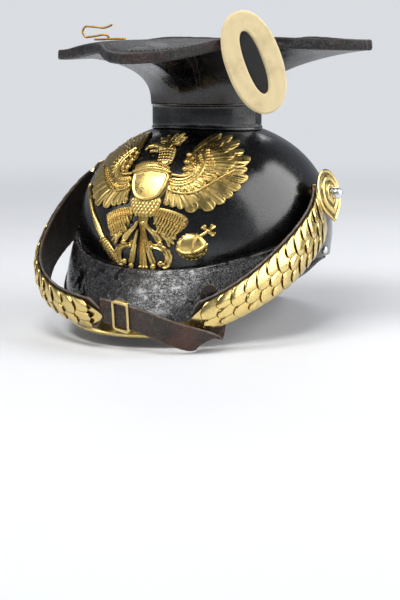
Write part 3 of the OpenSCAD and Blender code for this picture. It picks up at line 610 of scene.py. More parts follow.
class Effects:
    """Builds each shared effect's node group once."""

    def __init__(self) -> None:
        """Starts with no groups."""
        self.made: dict[Effect, Tree] = {}

    def group(self, effect: Effect) -> Tree:
        """Returns an effect's node group, and builds it at its first use.

        Args:
            effect: The effect that is wanted.

        Returns:
            The node group.
        """
        if effect not in self.made:
            tree = bpy.data.node_groups.new(f"{effect.value}_effect", "ShaderNodeTree")
            sockets = (("Place", "INPUT", "Vector"), ("Scale", "INPUT", "Float"),
                       ("Amount", "INPUT", "Float"), ("Mask", "OUTPUT", "Float"),
                       ("Height", "OUTPUT", "Float"))
            for name, way, kind in sockets:
                tree.interface.new_socket(name=name, in_out=way, socket_type=f"NodeSocket{kind}")
            graph = Graph(tree)
            source = tree.nodes.new("NodeGroupInput").outputs
            make = getattr(self, f"_{effect.value}")
            mask, height = make(graph, source["Place"], source["Scale"], source["Amount"])
            graph.add("NodeGroupOutput", {"Mask": mask, "Height": height})
            self.made[effect] = tree
        return self.made[effect]

    def _crackle(self, g: Graph, place: object, scale: object, amount: object) -> tuple:
        """Fine cracks in lacquer: the mask is 1 in a crack.

        Args:
            g: The group's graph.
            place: Where the pattern is read.
            scale: Its fineness.
            amount: Its strength, 0 to 1.

        Returns:
            The mask and the height.
        """
        cloud = g.add("ShaderNodeTexNoise", {"Vector": place, "Scale": g.times(scale, 0.7)}, out="Color")
        shift = g.add("ShaderNodeVectorMath", {0: cloud, 3: 0.0016}, operation="SCALE")
        bent = g.add("ShaderNodeVectorMath", {0: place, 1: shift}, operation="ADD")
        wide = g.add("ShaderNodeTexVoronoi", {"Vector": bent, "Scale": scale}, feature="DISTANCE_TO_EDGE")
        small_scale = g.times(scale, 2.7)
        fine = g.add("ShaderNodeTexVoronoi", {"Vector": bent, "Scale": small_scale},
                     feature="DISTANCE_TO_EDGE")
        broken = g.noise(place, g.times(scale, 0.3), 3.0)
        lines = g.times(g.fit(wide, 0.0, 0.09, 1.0, 0.0), g.fit(broken, 0.38, 0.6))
        small = g.times(g.fit(fine, 0.0, 0.12, 1.0, 0.0), 0.45)
        both = g.math("MAXIMUM", lines, g.times(small, g.fit(broken, 0.35, 0.7)))
        mask = g.times(both, amount, clamp=True)
        return mask, g.math("SUBTRACT", 1.0, mask)

    def _wear(self, g: Graph, place: object, scale: object, amount: object) -> tuple:
        """Rubbed patches: the mask is 1 where the finish has gone.

        Args:
            g: The group's graph.
            place: Where the pattern is read.
            scale: Its fineness.
            amount: Its strength, 0 to 1.

        Returns:
            The mask and the height.
        """
        patch = g.noise(place, scale, 7.0, 0.68, 0.4)
        start = g.math("SUBTRACT", 0.78, g.times(amount, 0.5))
        mask = g.add("ShaderNodeMapRange",
                     {"Value": patch, "From Min": start, "From Max": g.plus(start, 0.09)})
        return mask, g.math("SUBTRACT", 1.0, mask)

    def _grain(self, g: Graph, place: object, scale: object, amount: object) -> tuple:
        """Pores and pebbles of leather, or the pitting of old metal.

        Args:
            g: The group's graph.
            place: Where the pattern is read.
            scale: Its fineness.
            amount: Its strength, 0 to 1.

        Returns:
            The mask and the height.
        """
        pores = g.add("ShaderNodeTexVoronoi", {"Vector": place, "Scale": scale})
        soft = g.noise(place, g.times(scale, 0.45), 5.0, 0.62)
        height = g.plus(g.times(pores, 0.5), soft)
        return g.times(g.fit(soft, 0.42, 0.66), amount, clamp=True), g.times(height, amount)

    def _weave(self, g: Graph, place: object, scale: object, amount: object) -> tuple:
        """Threads over and under: the mask is 1 between threads.

        Args:
            g: The group's graph.
            place: Where the pattern is read.
            scale: Its fineness.
            amount: Its strength, 0 to 1.

        Returns:
            The mask and the height.
        """
        parts = g.tree.nodes.new("ShaderNodeSeparateXYZ")
        g.feed(parts.inputs[0], place)
        turns = [g.times(parts.outputs[k], g.times(scale, TAU)) for k in (0, 1)]
        cross = g.times(g.math("SINE", turns[0]), g.math("SINE", turns[1]))
        fuzz = g.noise(place, g.times(scale, 1.3), 5.0, 0.7)
        height = g.plus(g.times(cross, amount), fuzz)
        return g.fit(height, 0.1, 0.6, 1.0, 0.0), height

    def use(self, g: Graph, effect: Effect, place: object, scale: float, amount: float) -> tuple:
        """Places an effect in a material.

        Args:
            g: The material's graph.
            effect: The effect.
            place: The coordinates that it follows.
            scale: Its size, as repeats in a metre.
            amount: Its strength.

        Returns:
            The mask and height sockets.
        """
        node = g.tree.nodes.new("ShaderNodeGroup")
        node.node_tree = self.group(effect)
        for key, value in (("Place", place), ("Scale", scale), ("Amount", amount)):
            g.feed(node.inputs[key], value)
        return node.outputs["Mask"], node.outputs["Height"]


EFFECTS = Effects()


@dataclass(frozen=True)
class Finish:
    """What every finish has: a name, a colour and how rough it is."""

    name: str
    base: Colour
    rough: tuple[float, float]
    even: bool = False

    def start(self) -> tuple[Material, Graph, Node]:
        """Makes an empty material.

        Returns:
            The material, its graph and its shader node.
        """
        material = bpy.data.materials.new(self.name)
        material.use_nodes = True
        shader = first_node(material.node_tree, "BSDF_PRINCIPLED")
        return material, Graph(material.node_tree), shader

    def place(self, g: Graph, surface: bool = False) -> Socket:
        """Coordinates in metres: the object's, or the piece's own surface.

        Args:
            g: The material's graph.
            surface: Whether the surface's own places are read.

        Returns:
            The place.
        """
        if surface:
            return g.add("ShaderNodeUVMap", uv_map="surface")
        return g.add("ShaderNodeTexCoord", out="Object")

    def relief(self, g: Graph) -> Socket:
        """How far the piece stands out at a place, from 0 to 1; even on pieces without their own relief.

        Args:
            g: The material's graph.

        Returns:
            The relief, 1 where it stands out most.
        """
        if self.even:
            return g.fit(g.noise(self.place(g), 240.0, 4.0, 0.6), 0.25, 0.6, 0.45, 0.8)
        return g.add("ShaderNodeAttribute", out="Fac", attribute_name="relief")

    def bump(self, g: Graph, shader: Node, height: object, strength: float, depth: float,
             before: object | None = None) -> Socket:
        """Adds a bump and feeds it to the shader's normal.

        Args:
            g: The material's graph.
            shader: What the normal goes to.
            height: The pattern of heights.
            strength: The bump's share, 0 to 1.
            depth: Its depth in metres.
            before: A normal that it adds to.

        Returns:
            The new normal.
        """
        inputs = {"Height": height, "Strength": strength, "Distance": depth}
        if before is not None:
            inputs["Normal"] = before
        normal = g.add("ShaderNodeBump", inputs)
        g.feed(shader.inputs["Normal"], normal)
        return normal


@dataclass(frozen=True)
class Lacquer(Finish):
    """Black lacquer on leather, with crackle, dull patches and rubbed places."""

    under: Colour = colour(96, 58, 38)
    dust: Colour = colour(92, 92, 94)
    crackle: float = 420.0
    crackle_amount: float = 0.5
    crackle_depth: float = 0.00012
    wear: float = 0.12
    wave: float = 0.0010
    gloss: float = 0.5
    edge_wear: float = 0.5
    shine: float = 0.5

    def build(self) -> Material:
        """Makes the material.

        Returns:
            The finished material.
        """
        material, g, shader = self.start()
        place = self.place(g)
        crack, crack_height = EFFECTS.use(g, Effect.CRACKLE, place, self.crackle, self.crackle_amount)
        rubbed, _ = EFFECTS.use(g, Effect.WEAR, place, 55.0, self.wear)
        grain, grain_height = EFFECTS.use(g, Effect.GRAIN, place, 1500.0, 1.0)
        cloud = g.noise(place, 16.0, 5.0, 0.6)
        worn_edge = g.times(g.fit(self.relief(g), 0.62, 1.0),
                            g.fit(g.noise(place, 130.0, 6.0, 0.7), 0.4, 0.62))
        bare = g.math("MAXIMUM", g.times(rubbed, 0.6), g.times(worn_edge, self.edge_wear), clamp=True)
        tone = g.mix(g.fit(cloud, 0.35, 0.7), self.base, shade(self.base, 1.9, 0.002))
        tone = g.mix(g.times(crack, 0.35), tone, self.dust)
        g.feed(shader.inputs["Base Color"], g.mix(bare, tone, self.under))
        rough = g.fit(g.plus(cloud, g.times(grain, 0.25)), 0.35, 0.85, *self.rough)
        g.feed(shader.inputs["Roughness"], g.plus(rough, g.times(bare, 0.3), clamp=True))
        for key, value in (("Specular IOR Level", self.shine), ("Coat Weight", self.gloss),
                           ("Coat Roughness", 0.12)):
            shader.inputs[key].default_value = value
        swell = self.bump(g, shader, g.noise(place, 26.0, 2.0, 0.5), 0.5, self.wave)
        fine = self.bump(g, shader, grain_height, 0.35, 0.00006, swell)
        normal = self.bump(g, shader, crack_height, 0.8, self.crackle_depth, fine)
        g.feed(shader.inputs["Coat Normal"], normal)
        return material


@dataclass(frozen=True)
class Brass(Finish):
    """Old gilded brass: bright on its crests; its hollows brown, partly patina and partly painted shade; with
    small dents.
    """

    # The hollow colour stands for patina and also for painted shade in recesses, undersides and between
    # parts.
    hollow: Colour = colour(82, 58, 28)
    patina: float = 0.35
    dents: float = 0.00035
    streaks: bool = False

    def build(self) -> Material:
        """Makes the material.

        Returns:
            The finished material.
        """
        material, g, shader = self.start()
        place = self.place(g)
        shader.inputs["Metallic"].default_value = 1.0
        blotch = g.noise(place, 90.0, 8.0, 0.66, 0.3)
        pits, pit_height = EFFECTS.use(g, Effect.GRAIN, place, 900.0, 1.0)
        # Low relief takes the hollow colour: patina, and painted shade in recesses, under pieces and between
        # them; the blotches add patina alone.
        low = g.fit(self.relief(g), 0.04, 0.55, 1.0, 0.0)
        patina_and_shade = g.plus(g.times(low, 0.85), g.times(g.fit(blotch, 0.5, 0.72), self.patina), clamp=True)
        tone = g.mix(patina_and_shade, self.base, self.hollow)
        tone = g.mix(g.times(pits, 0.25), tone, shade(self.base, 0.62))
        g.feed(shader.inputs["Base Color"], tone)
        rough = g.fit(blotch, 0.35, 0.7, *self.rough)
        g.feed(shader.inputs["Roughness"], g.plus(rough, g.times(patina_and_shade, 0.18), clamp=True))
        swell = self.bump(g, shader, g.noise(place, 75.0, 2.0, 0.5), 0.5, self.dents)
        normal = self.bump(g, shader, pit_height, 0.25, 0.00005, swell)
        if self.streaks:
            lines = g.noise(g.stretched(self.place(g, True), (350.0, 2600.0, 1.0)), 1.0, 3.0, 0.5)
            self.bump(g, shader, lines, 0.5, 0.00012, normal)
        return material


@dataclass(frozen=True)
class Hide(Finish):
    """Leather without lacquer: pores, creases across the piece and pale worn edges."""

    pale: Colour = colour(120, 104, 90)
    rust: Colour = colour(112, 62, 40)
    crease: float = 900.0
    crease_depth: float = 0.00025
    cracks: float = 0.0
    rust_amount: float = 0.3

    def build(self) -> Material:
        """Makes the material.

        Returns:
            The finished material.
        """
        material, g, shader = self.start()
        place, surface = self.place(g), self.place(g, True)
        grain, grain_height = EFFECTS.use(g, Effect.GRAIN, place, 1300.0, 1.0)
        worn, _ = EFFECTS.use(g, Effect.WEAR, place, 160.0, 0.55)
        folds = g.noise(g.stretched(surface, (self.crease, self.crease * 0.09, 1.0)), 1.0, 4.0, 0.62)
        blotch = g.noise(place, 60.0, 6.0, 0.65)
        tone = g.mix(g.fit(blotch, 0.36, 0.66), self.base, shade(self.base, 0.45))
        tone = g.mix(g.times(g.fit(g.noise(place, 38.0, 5.0, 0.6), 0.46, 0.66), self.rust_amount),
                     tone, self.rust)
        tone = g.mix(g.times(g.fit(folds, 0.58, 0.78), 0.45), tone, self.pale)
        edge = g.times(g.fit(self.relief(g), 0.6, 0.98), g.plus(g.times(worn, 0.5), 0.35))
        tone = g.mix(edge, tone, self.pale)
        height = g.plus(g.times(folds, 1.0), g.times(grain_height, 0.25))
        if self.cracks:
            crack, crack_height = EFFECTS.use(g, Effect.CRACKLE, g.stretched(surface, (0.55, 1.0, 1.0)),
                                              520.0, self.cracks)
            tone = g.mix(g.times(crack, 0.8), tone, self.pale)
            height = g.plus(height, crack_height)
        g.feed(shader.inputs["Base Color"], tone)
        g.feed(shader.inputs["Roughness"], g.fit(g.plus(blotch, grain), 0.4, 1.3, *self.rough))
        self.bump(g, shader, height, 0.7, self.crease_depth)
        return material


@dataclass(frozen=True)
class Cloth(Finish):
    """Wool cloth with its threads, its nap and faint soiling."""

    soil: Colour = colour(176, 150, 104)
    threads: float = 900.0

    def build(self) -> Material:
        """Makes the material.

        Returns:
            The finished material.
        """
        material, g, shader = self.start()
        place, surface = self.place(g), self.place(g, True)
        gaps, height = EFFECTS.use(g, Effect.WEAVE, surface, self.threads, 0.35)
        stain = g.fit(g.noise(place, 55.0, 6.0, 0.6), 0.42, 0.75)
        tone = g.mix(g.times(stain, 0.55), self.base, self.soil)
        tone = g.mix(g.times(gaps, 0.3), tone, shade(self.base, 0.55))
        g.feed(shader.inputs["Base Color"], tone)
        g.feed(shader.inputs["Roughness"], g.fit(height, 0.0, 1.0, *self.rough))
        shader.inputs["Sheen Weight"].default_value = 0.25
        self.bump(g, shader, g.plus(height, g.noise(place, 260.0, 4.0, 0.6)), 0.55, 0.0002)
        return material


class Wardrobe:
    """All finishes of the helmet, each made into a material once."""

    finishes: dict[str, Finish] = {
        "lacquer": Lacquer("skull_lacquer", colour(9, 9, 10), (0.16, 0.34), dust=colour(60, 58, 58),
                           crackle_amount=0.25, crackle_depth=0.00005, wear=0.08, gloss=0.35),
        "visor": Lacquer("visor_lacquer", colour(11, 11, 13), (0.14, 0.32), under=colour(92, 82, 74),
                         crackle=430.0, crackle_amount=1.0, crackle_depth=0.00045, wear=0.2, wave=0.0018,
                         gloss=0.8, edge_wear=0.7),
        "flare": Lacquer("flare_lacquer", colour(9, 9, 9), (0.2, 0.4), crackle=300.0, crackle_amount=0.3,
                         wave=0.0016, wear=0.06, gloss=0.3),
        "board": Lacquer("board_lacquer", colour(14, 13, 14), (0.36, 0.6), crackle=260.0, crackle_amount=0.8,
                         crackle_depth=0.0004, wear=0.2, gloss=0.05, shine=0.25),
        "welt": Hide("welt_leather", colour(15, 13, 13), (0.34, 0.62), pale=colour(84, 76, 70),
                     rust=colour(74, 38, 26), crease=600.0, crease_depth=0.0006, cracks=0.8, rust_amount=0.3),
        "strap": Hide("strap_leather", colour(56, 47, 42), (0.4, 0.7), pale=colour(132, 114, 96),
                      rust=colour(96, 50, 34), crease=460.0, crease_depth=0.0014, cracks=0.6,
                      rust_amount=0.5),
        "lining": Hide("chain_lining_leather", colour(62, 54, 48), (0.5, 0.8), pale=colour(132, 118, 104)),
        "tan": Hide("tan_leather", colour(150, 112, 76), (0.5, 0.75), pale=colour(186, 156, 118),
                    rust=colour(120, 74, 44), crease=420.0),
        # Each brass hollow colour is patina and also painted shade; the scales' near-black one paints the
        # shade between and under the scales.
        "scale": Brass("scale_brass", colour(230, 204, 132), (0.16, 0.34), hollow=colour(44, 30, 14),
                       patina=0.3),
        "eagle": Brass("plate_brass", colour(222, 192, 118), (0.2, 0.4), hollow=colour(60, 42, 20),
                       patina=0.45, streaks=True),
        "trim": Brass("trim_brass", colour(238, 214, 140), (0.12, 0.28), hollow=colour(70, 48, 22),
                      patina=0.2),
        "fitting": Brass("fitting_brass", colour(222, 196, 132), (0.22, 0.4), patina=0.3),
        "fitting_cad": Brass("small_fitting_brass", colour(206, 172, 104), (0.26, 0.46), True, patina=0.4),
        "wire": Brass("hook_wire", colour(206, 152, 74), (0.28, 0.5), patina=0.6),
        "silver": Brass("silvered_metal", colour(222, 222, 224), (0.14, 0.3), True,
                        hollow=colour(110, 108, 106), patina=0.3),
        "cream": Cloth("cream_cloth", colour(226, 206, 158), (0.8, 0.98)),
        "black": Cloth("black_cloth", colour(22, 20, 20), (0.75, 0.95), soil=colour(44, 38, 34)),
        "thread": Hide("waxed_thread", colour(58, 50, 44), (0.6, 0.8)),
    }

    def __init__(self) -> None:
        """Starts with no materials."""
        self.made: dict[str, Material] = {}

    def __getitem__(self, key: str) -> Material:
        """Returns a finish's material, and makes it at its first use.

        Args:
            key: The finish's short name.

        Returns:
            Its material.
        """
        if key not in self.made:
            self.made[key] = self.finishes[key].build()
        return self.made[key]


WARDROBE = Wardrobe()


# ---- Runs: what repeats or follows a line, made by geometry nodes ----


class Runs:
    """Geometry node trees for stitches, set beads and drawn wire."""

    sizes: dict[str, tuple[str, ...]] = {
        "stitches": ("Pitch", "Length", "Thickness"),
        "beads": ("Growth",),
        "wire": ("Radius",),
    }

    def __init__(self) -> None:
        """Starts with no trees."""
        self.made: dict[str, Tree] = {}

    def tree(self, name: str) -> Tree:
        """Returns a tree, and builds it at its first use.

        Args:
            name: One of the names in sizes.

        Returns:
            The tree, with a geometry, its sizes and a finish as inputs.
        """
        if name not in self.made:
            tree = bpy.data.node_groups.new(name, "GeometryNodeTree")
            sockets = [("Geometry", "INPUT", "Geometry")]
            sockets += [(size, "INPUT", "Float") for size in self.sizes[name]]
            sockets += [("Finish", "INPUT", "Material"), ("Geometry", "OUTPUT", "Geometry")]
            for label, way, kind in sockets:
                tree.interface.new_socket(name=label, in_out=way, socket_type=f"NodeSocket{kind}")
            g, source = Graph(tree), tree.nodes.new("NodeGroupInput").outputs
            shape = getattr(self, f"_{name}")(g, source)
            real = g.add("GeometryNodeRealizeInstances", {"Geometry": shape})
            rounded = g.add("GeometryNodeSetShadeSmooth", {"Geometry": real})
            dressed = g.add("GeometryNodeSetMaterial", {"Geometry": rounded, "Material": source["Finish"]})
            g.add("NodeGroupOutput", {"Geometry": dressed})
            self.made[name] = tree
        return self.made[name]

    def _stitches(self, g: Graph, source: object) -> Socket:
        """Short rounded stitches along a line, with a size each way and a pitch.

        Args:
            g: The tree's graph.
            source: The tree's own inputs, by name.

        Returns:
            The stitches.
        """
        line = g.add("GeometryNodeMeshToCurve", {"Mesh": source["Geometry"]})
        even = g.add("GeometryNodeResampleCurve", {"Curve": line, "Length": source["Pitch"]}, mode="LENGTH")
        thick = source["Thickness"]
        sizes = g.add("ShaderNodeCombineXYZ", {0: source["Length"], 1: thick, 2: thick})
        bead = g.add("GeometryNodeMeshIcoSphere", {"Radius": 0.5, "Subdivisions": 2})
        turned = self._aimed(g, "X", {"Vector": g.add("GeometryNodeInputTangent")})
        return self._placed(g, even, bead, turned, sizes)

    def _beads(self, g: Graph, source: object) -> Socket:
        """Rounded beads or small feathers on points that carry their facing, way and size.

        Args:
            g: The tree's graph.
            source: The tree's own inputs, by name.

        Returns:
            The beads.
        """

        def stored(name: str) -> Socket:
            """A vector kept on the points."""
            return g.add("GeometryNodeInputNamedAttribute", {"Name": name}, data_type="FLOAT_VECTOR")

        points = g.add("GeometryNodeMeshToPoints", {"Mesh": source["Geometry"]})
        bead = g.add("GeometryNodeMeshIcoSphere", {"Radius": 1.0, "Subdivisions": 3})
        up = self._aimed(g, "Z", {"Vector": stored("facing")})
        turned = self._aimed(g, "X", {"Rotation": up, "Vector": stored("way")}, pivot_axis="Z")
        sizes = g.add("ShaderNodeVectorMath", {0: stored("size"), 3: source["Growth"]}, operation="SCALE")
        return self._placed(g, points, bead, turned, sizes)

    def _wire(self, g: Graph, source: object) -> Socket:
        """Round wire along a line.

        Args:
            g: The tree's graph.
            source: The tree's own inputs, by name.

        Returns:
            The wire.
        """
        line = g.add("GeometryNodeMeshToCurve", {"Mesh": source["Geometry"]})
        ring = g.add("GeometryNodeCurvePrimitiveCircle", {"Resolution": 14, "Radius": source["Radius"]})
        return g.add("GeometryNodeCurveToMesh", {"Curve": line, "Profile Curve": ring, "Fill Caps": True})

    @staticmethod
    def _aimed(g: Graph, axis: str, inputs: dict, **settings: object) -> Socket:
        """A rotation that turns an axis to a direction."""
        return g.add("FunctionNodeAlignRotationToVector", inputs, axis=axis, **settings)

    @staticmethod
    def _placed(g: Graph, points: Socket, shape: Socket, turned: Socket, sizes: Socket) -> Socket:
        """Copies of a shape on points."""
        inputs = {"Points": points, "Instance": shape, "Rotation": turned, "Scale": sizes}
        return g.add("GeometryNodeInstanceOnPoints", inputs)

    def make(self, name: str, run: str, points: Array, sizes: dict[str, float], finish: str,
             closed: bool = False, lines: bool = True, stored: dict[str, Array] | None = None) -> Object:
        """Runs a tree over points and keeps the plain mesh.

        Args:
            name: The piece's name.
            run: The tree's name.
            points: The line's or the beads' points, in millimetres.
            sizes: The tree's sizes, in metres.
            finish: The finish's name.
            closed: True where the line's end joins its start.
            lines: True where the points are a line.
            stored: Vectors kept on the points.

        Returns:
            The finished object.
        """
        tree, n = self.tree(run), len(points)
        edges = [(i, i + 1) for i in range(n - 1)] + ([(n - 1, 0)] if closed else []) if lines else []
        mesh = bpy.data.meshes.new(name)
        mesh.from_pydata((np.asarray(points) * MM).tolist(), edges, [])
        for key, values in (stored or {}).items():
            kept = mesh.attributes.new(key, "FLOAT_VECTOR", "POINT")
            kept.data.foreach_set("vector", np.asarray(values, np.float32).ravel())
        obj = put_in_scene(name, mesh)
        modifier = obj.modifiers.new("run", "NODES")
        modifier.node_group = tree
        for socket in tree.interface.items_tree:
            if socket.in_out == "INPUT" and socket.name in sizes:
                modifier[socket.identifier] = float(sizes[socket.name])
            elif socket.in_out == "INPUT" and socket.name == "Finish":
                modifier[socket.identifier] = WARDROBE[finish]
        depsgraph = bpy.context.evaluated_depsgraph_get()
        made = bpy.data.meshes.new_from_object(obj.evaluated_get(depsgraph), preserve_all_data_layers=True,
                                               depsgraph=depsgraph)
        obj.modifiers.remove(modifier)
        obj.data = made
        bpy.data.meshes.remove(mesh)
        made.name = name
        if not made.materials or made.materials[0] is None:
            made.materials.clear()
            made.materials.append(WARDROBE[finish])
        level = made.attributes.get("relief") or made.attributes.new("relief", "FLOAT", "POINT")
        level.data.foreach_set("value", np.full(len(made.vertices), 0.75, np.float32))
        return obj


RUNS = Runs()


@dataclass
class SubAssembly:
    """A group of pieces that belong together on the helmet."""

    frame: dict
    pieces: list[Object] = field(default_factory=list)

    def keep(self, obj: Object, slot: str, nodes: Sequence[str], stands_in: bool = True) -> Object:
        """Ties a piece to the body of its CAD node.

        Args:
            obj: The finished piece.
            slot: The record's material slot; not used.
            nodes: The CAD nodes that it belongs to.
            stands_in: True where it is shown instead of them.

        Returns:
            The piece.
        """
        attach(obj, self.frame["nodes"][nodes[0]]["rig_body"])
        if stands_in:
            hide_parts(*nodes)
        self.pieces.append(obj)
        LOG.info("%s: %d faces", obj.name, len(obj.data.polygons))
        return obj

    def piece(self, name: str, form: Form, finish: str, slot: str, node: str, sharp: float = 50.0) -> None:
        """Makes a form's piece, which is shown instead of its CAD node."""
        self.keep(make_piece(name, form, WARDROBE[finish], sharp), slot, [node])

    def stitch(self, name: str, line: Array, node: str, slot: str, pitch: float = 3.2, length: float = 2.2,
               thick: float = 0.7, closed: bool = False, finish: str = "thread") -> None:
        """Sews a row of stitches along a line, in millimetres."""
        sizes = {"Pitch": pitch * MM, "Length": length * MM, "Thickness": thick * MM}
        self.keep(RUNS.make(name, "stitches", line, sizes, finish, closed), slot, [node], False)

    def dress(self, finish: str, *nodes: str) -> None:
        """Gives CAD nodes that are shown as they are a finish.

        Args:
            finish: The finish's short name.
            nodes: The names of the CAD nodes.
        """
        for name in nodes:
            mesh = self.frame["nodes"][name].data
            mesh.materials.clear()
            mesh.materials.append(WARDROBE[finish])


# ---- Leather: skull, neck, board and visors ----


@dataclass
class SkullShell(SubAssembly):
    """The leather skull with its rounded edge."""

    turns: int = 192
    rows: int = 46
    vent_r: float = 8.0

    def build(self) -> None:
        """Makes the skull."""
        a = full_turn(self.turns)[:, None]
        w = HEAD.wall / 2
        edge = HEAD.edge(a)
        low = np.linspace(0, 1, 8)[None, :-1]
        climbs = (math.acos(self.vent_r / HEAD.half_w) * np.linspace(0, 1, self.rows) ** 0.8)[None, :]

        def face(off: float) -> Array:
            """One face of the leather, from the edge to the vent."""
            z = edge + w + (HEAD.side_h - edge - w) * low
            return np.concatenate([HEAD.side(a, z, off), HEAD.dome(a, climbs, off)], 1)

        outer, inner = face(0.0), face(-HEAD.wall)
        b = np.linspace(0, math.pi, 9)[None, 1:-1]
        roll = HEAD.side(a, edge + w - w * np.sin(b), -w - w * np.cos(b))
        rings = np.concatenate([outer, inner[:, ::-1], roll], 1)
        relief = np.full(rings.shape[:2], 0.4)
        relief[:, -roll.shape[1]:] = 1.0
        relief[:, :2] = 0.9
        form = loft(rings, True, a[:, 0] * 100, np.arange(rings.shape[1]) * 3.0, relief)
        self.piece("skull_leather", form, "lacquer", "black_leather", "skull")


@dataclass
class BoardForm:
    """The square board's outline and heights."""

    radius: float = 134.0
    height: float = 172.5
    concave: float = 0.1
    drops: tuple[float, float, float, float] = (11.5, 2.5, 1.5, 10.5)
    dip: float = 5.0
    thick: float = 2.5
    welt_h: float = 8.0
    welt_t: float = 4.6
    welt_over: float = 1.2
    neck_r: float = 42.0
    seam_z: float = 124.0
    flare_t: float = 2.0
    clear: float = 0.3

    def out(self, a: Array) -> Array:
        """Distance of the outline from the axis at turns in radians."""
        shape = (np.abs(np.sin(a)) ** 1.05 + np.abs(np.cos(a)) ** 1.05) ** (1 / 1.05)
        return self.radius / shape * (1 - self.concave * np.sin(2 * a) ** 2)

    def edge_z(self, a: Array) -> Array:
        """Height of the edge at turns in radians.

        Args:
            a: Turns from the front.

        Returns:
            The heights.
        """
        d = np.degrees(a) % 360
        drop = np.array(self.drops)[(np.floor((d + 45) / 90) % 4).astype(int)]
        return self.height - drop * np.cos(2 * a) ** 2 - np.where(d > 270, self.dip, 0) * np.sin(2 * a) ** 2

    def point(self, a: Array, share: Array | float, dz: Array | float) -> Array:
        """Points of the board inside its welt.

        Args:
            a: Turns from the front.
            share: From the axis, 0, to the welt, 1.
            dz: Height over the board's middle face.

        Returns:
            The points.
        """
        r = (self.out(a) - self.welt_t - self.clear) * share
        z = self.height - 1 + (self.edge_z(a) - self.height + 1) * np.asarray(share, float) ** 5 + dz
        return around(a, r, z)

    def turns(self, count: int) -> Array:
        """Turns round the board, closer together at its corners."""
        q = full_turn(4 * count)
        return q - 0.19 * np.sin(4 * q)

    def flare(self, a: Array, s: Array) -> Array:
        """Points of the flare, from the neck's seam out to the welt.

        Args:
            a: Turns from the front.
            s: From the seam, 0, to the welt, 1.

        Returns:
            The points.
        """
        r = (self.neck_r + 1) * (1 - s) + (self.out(a) - self.welt_t - 2 * self.clear) * s
        z0 = self.seam_z + self.clear / 2
        rise = self.height + self.welt_over - self.welt_h - z0
        z = z0 + rise * s**0.42 - (self.height - self.edge_z(a)) * s**3
        return around(a, r, z)


BOARD = BoardForm()


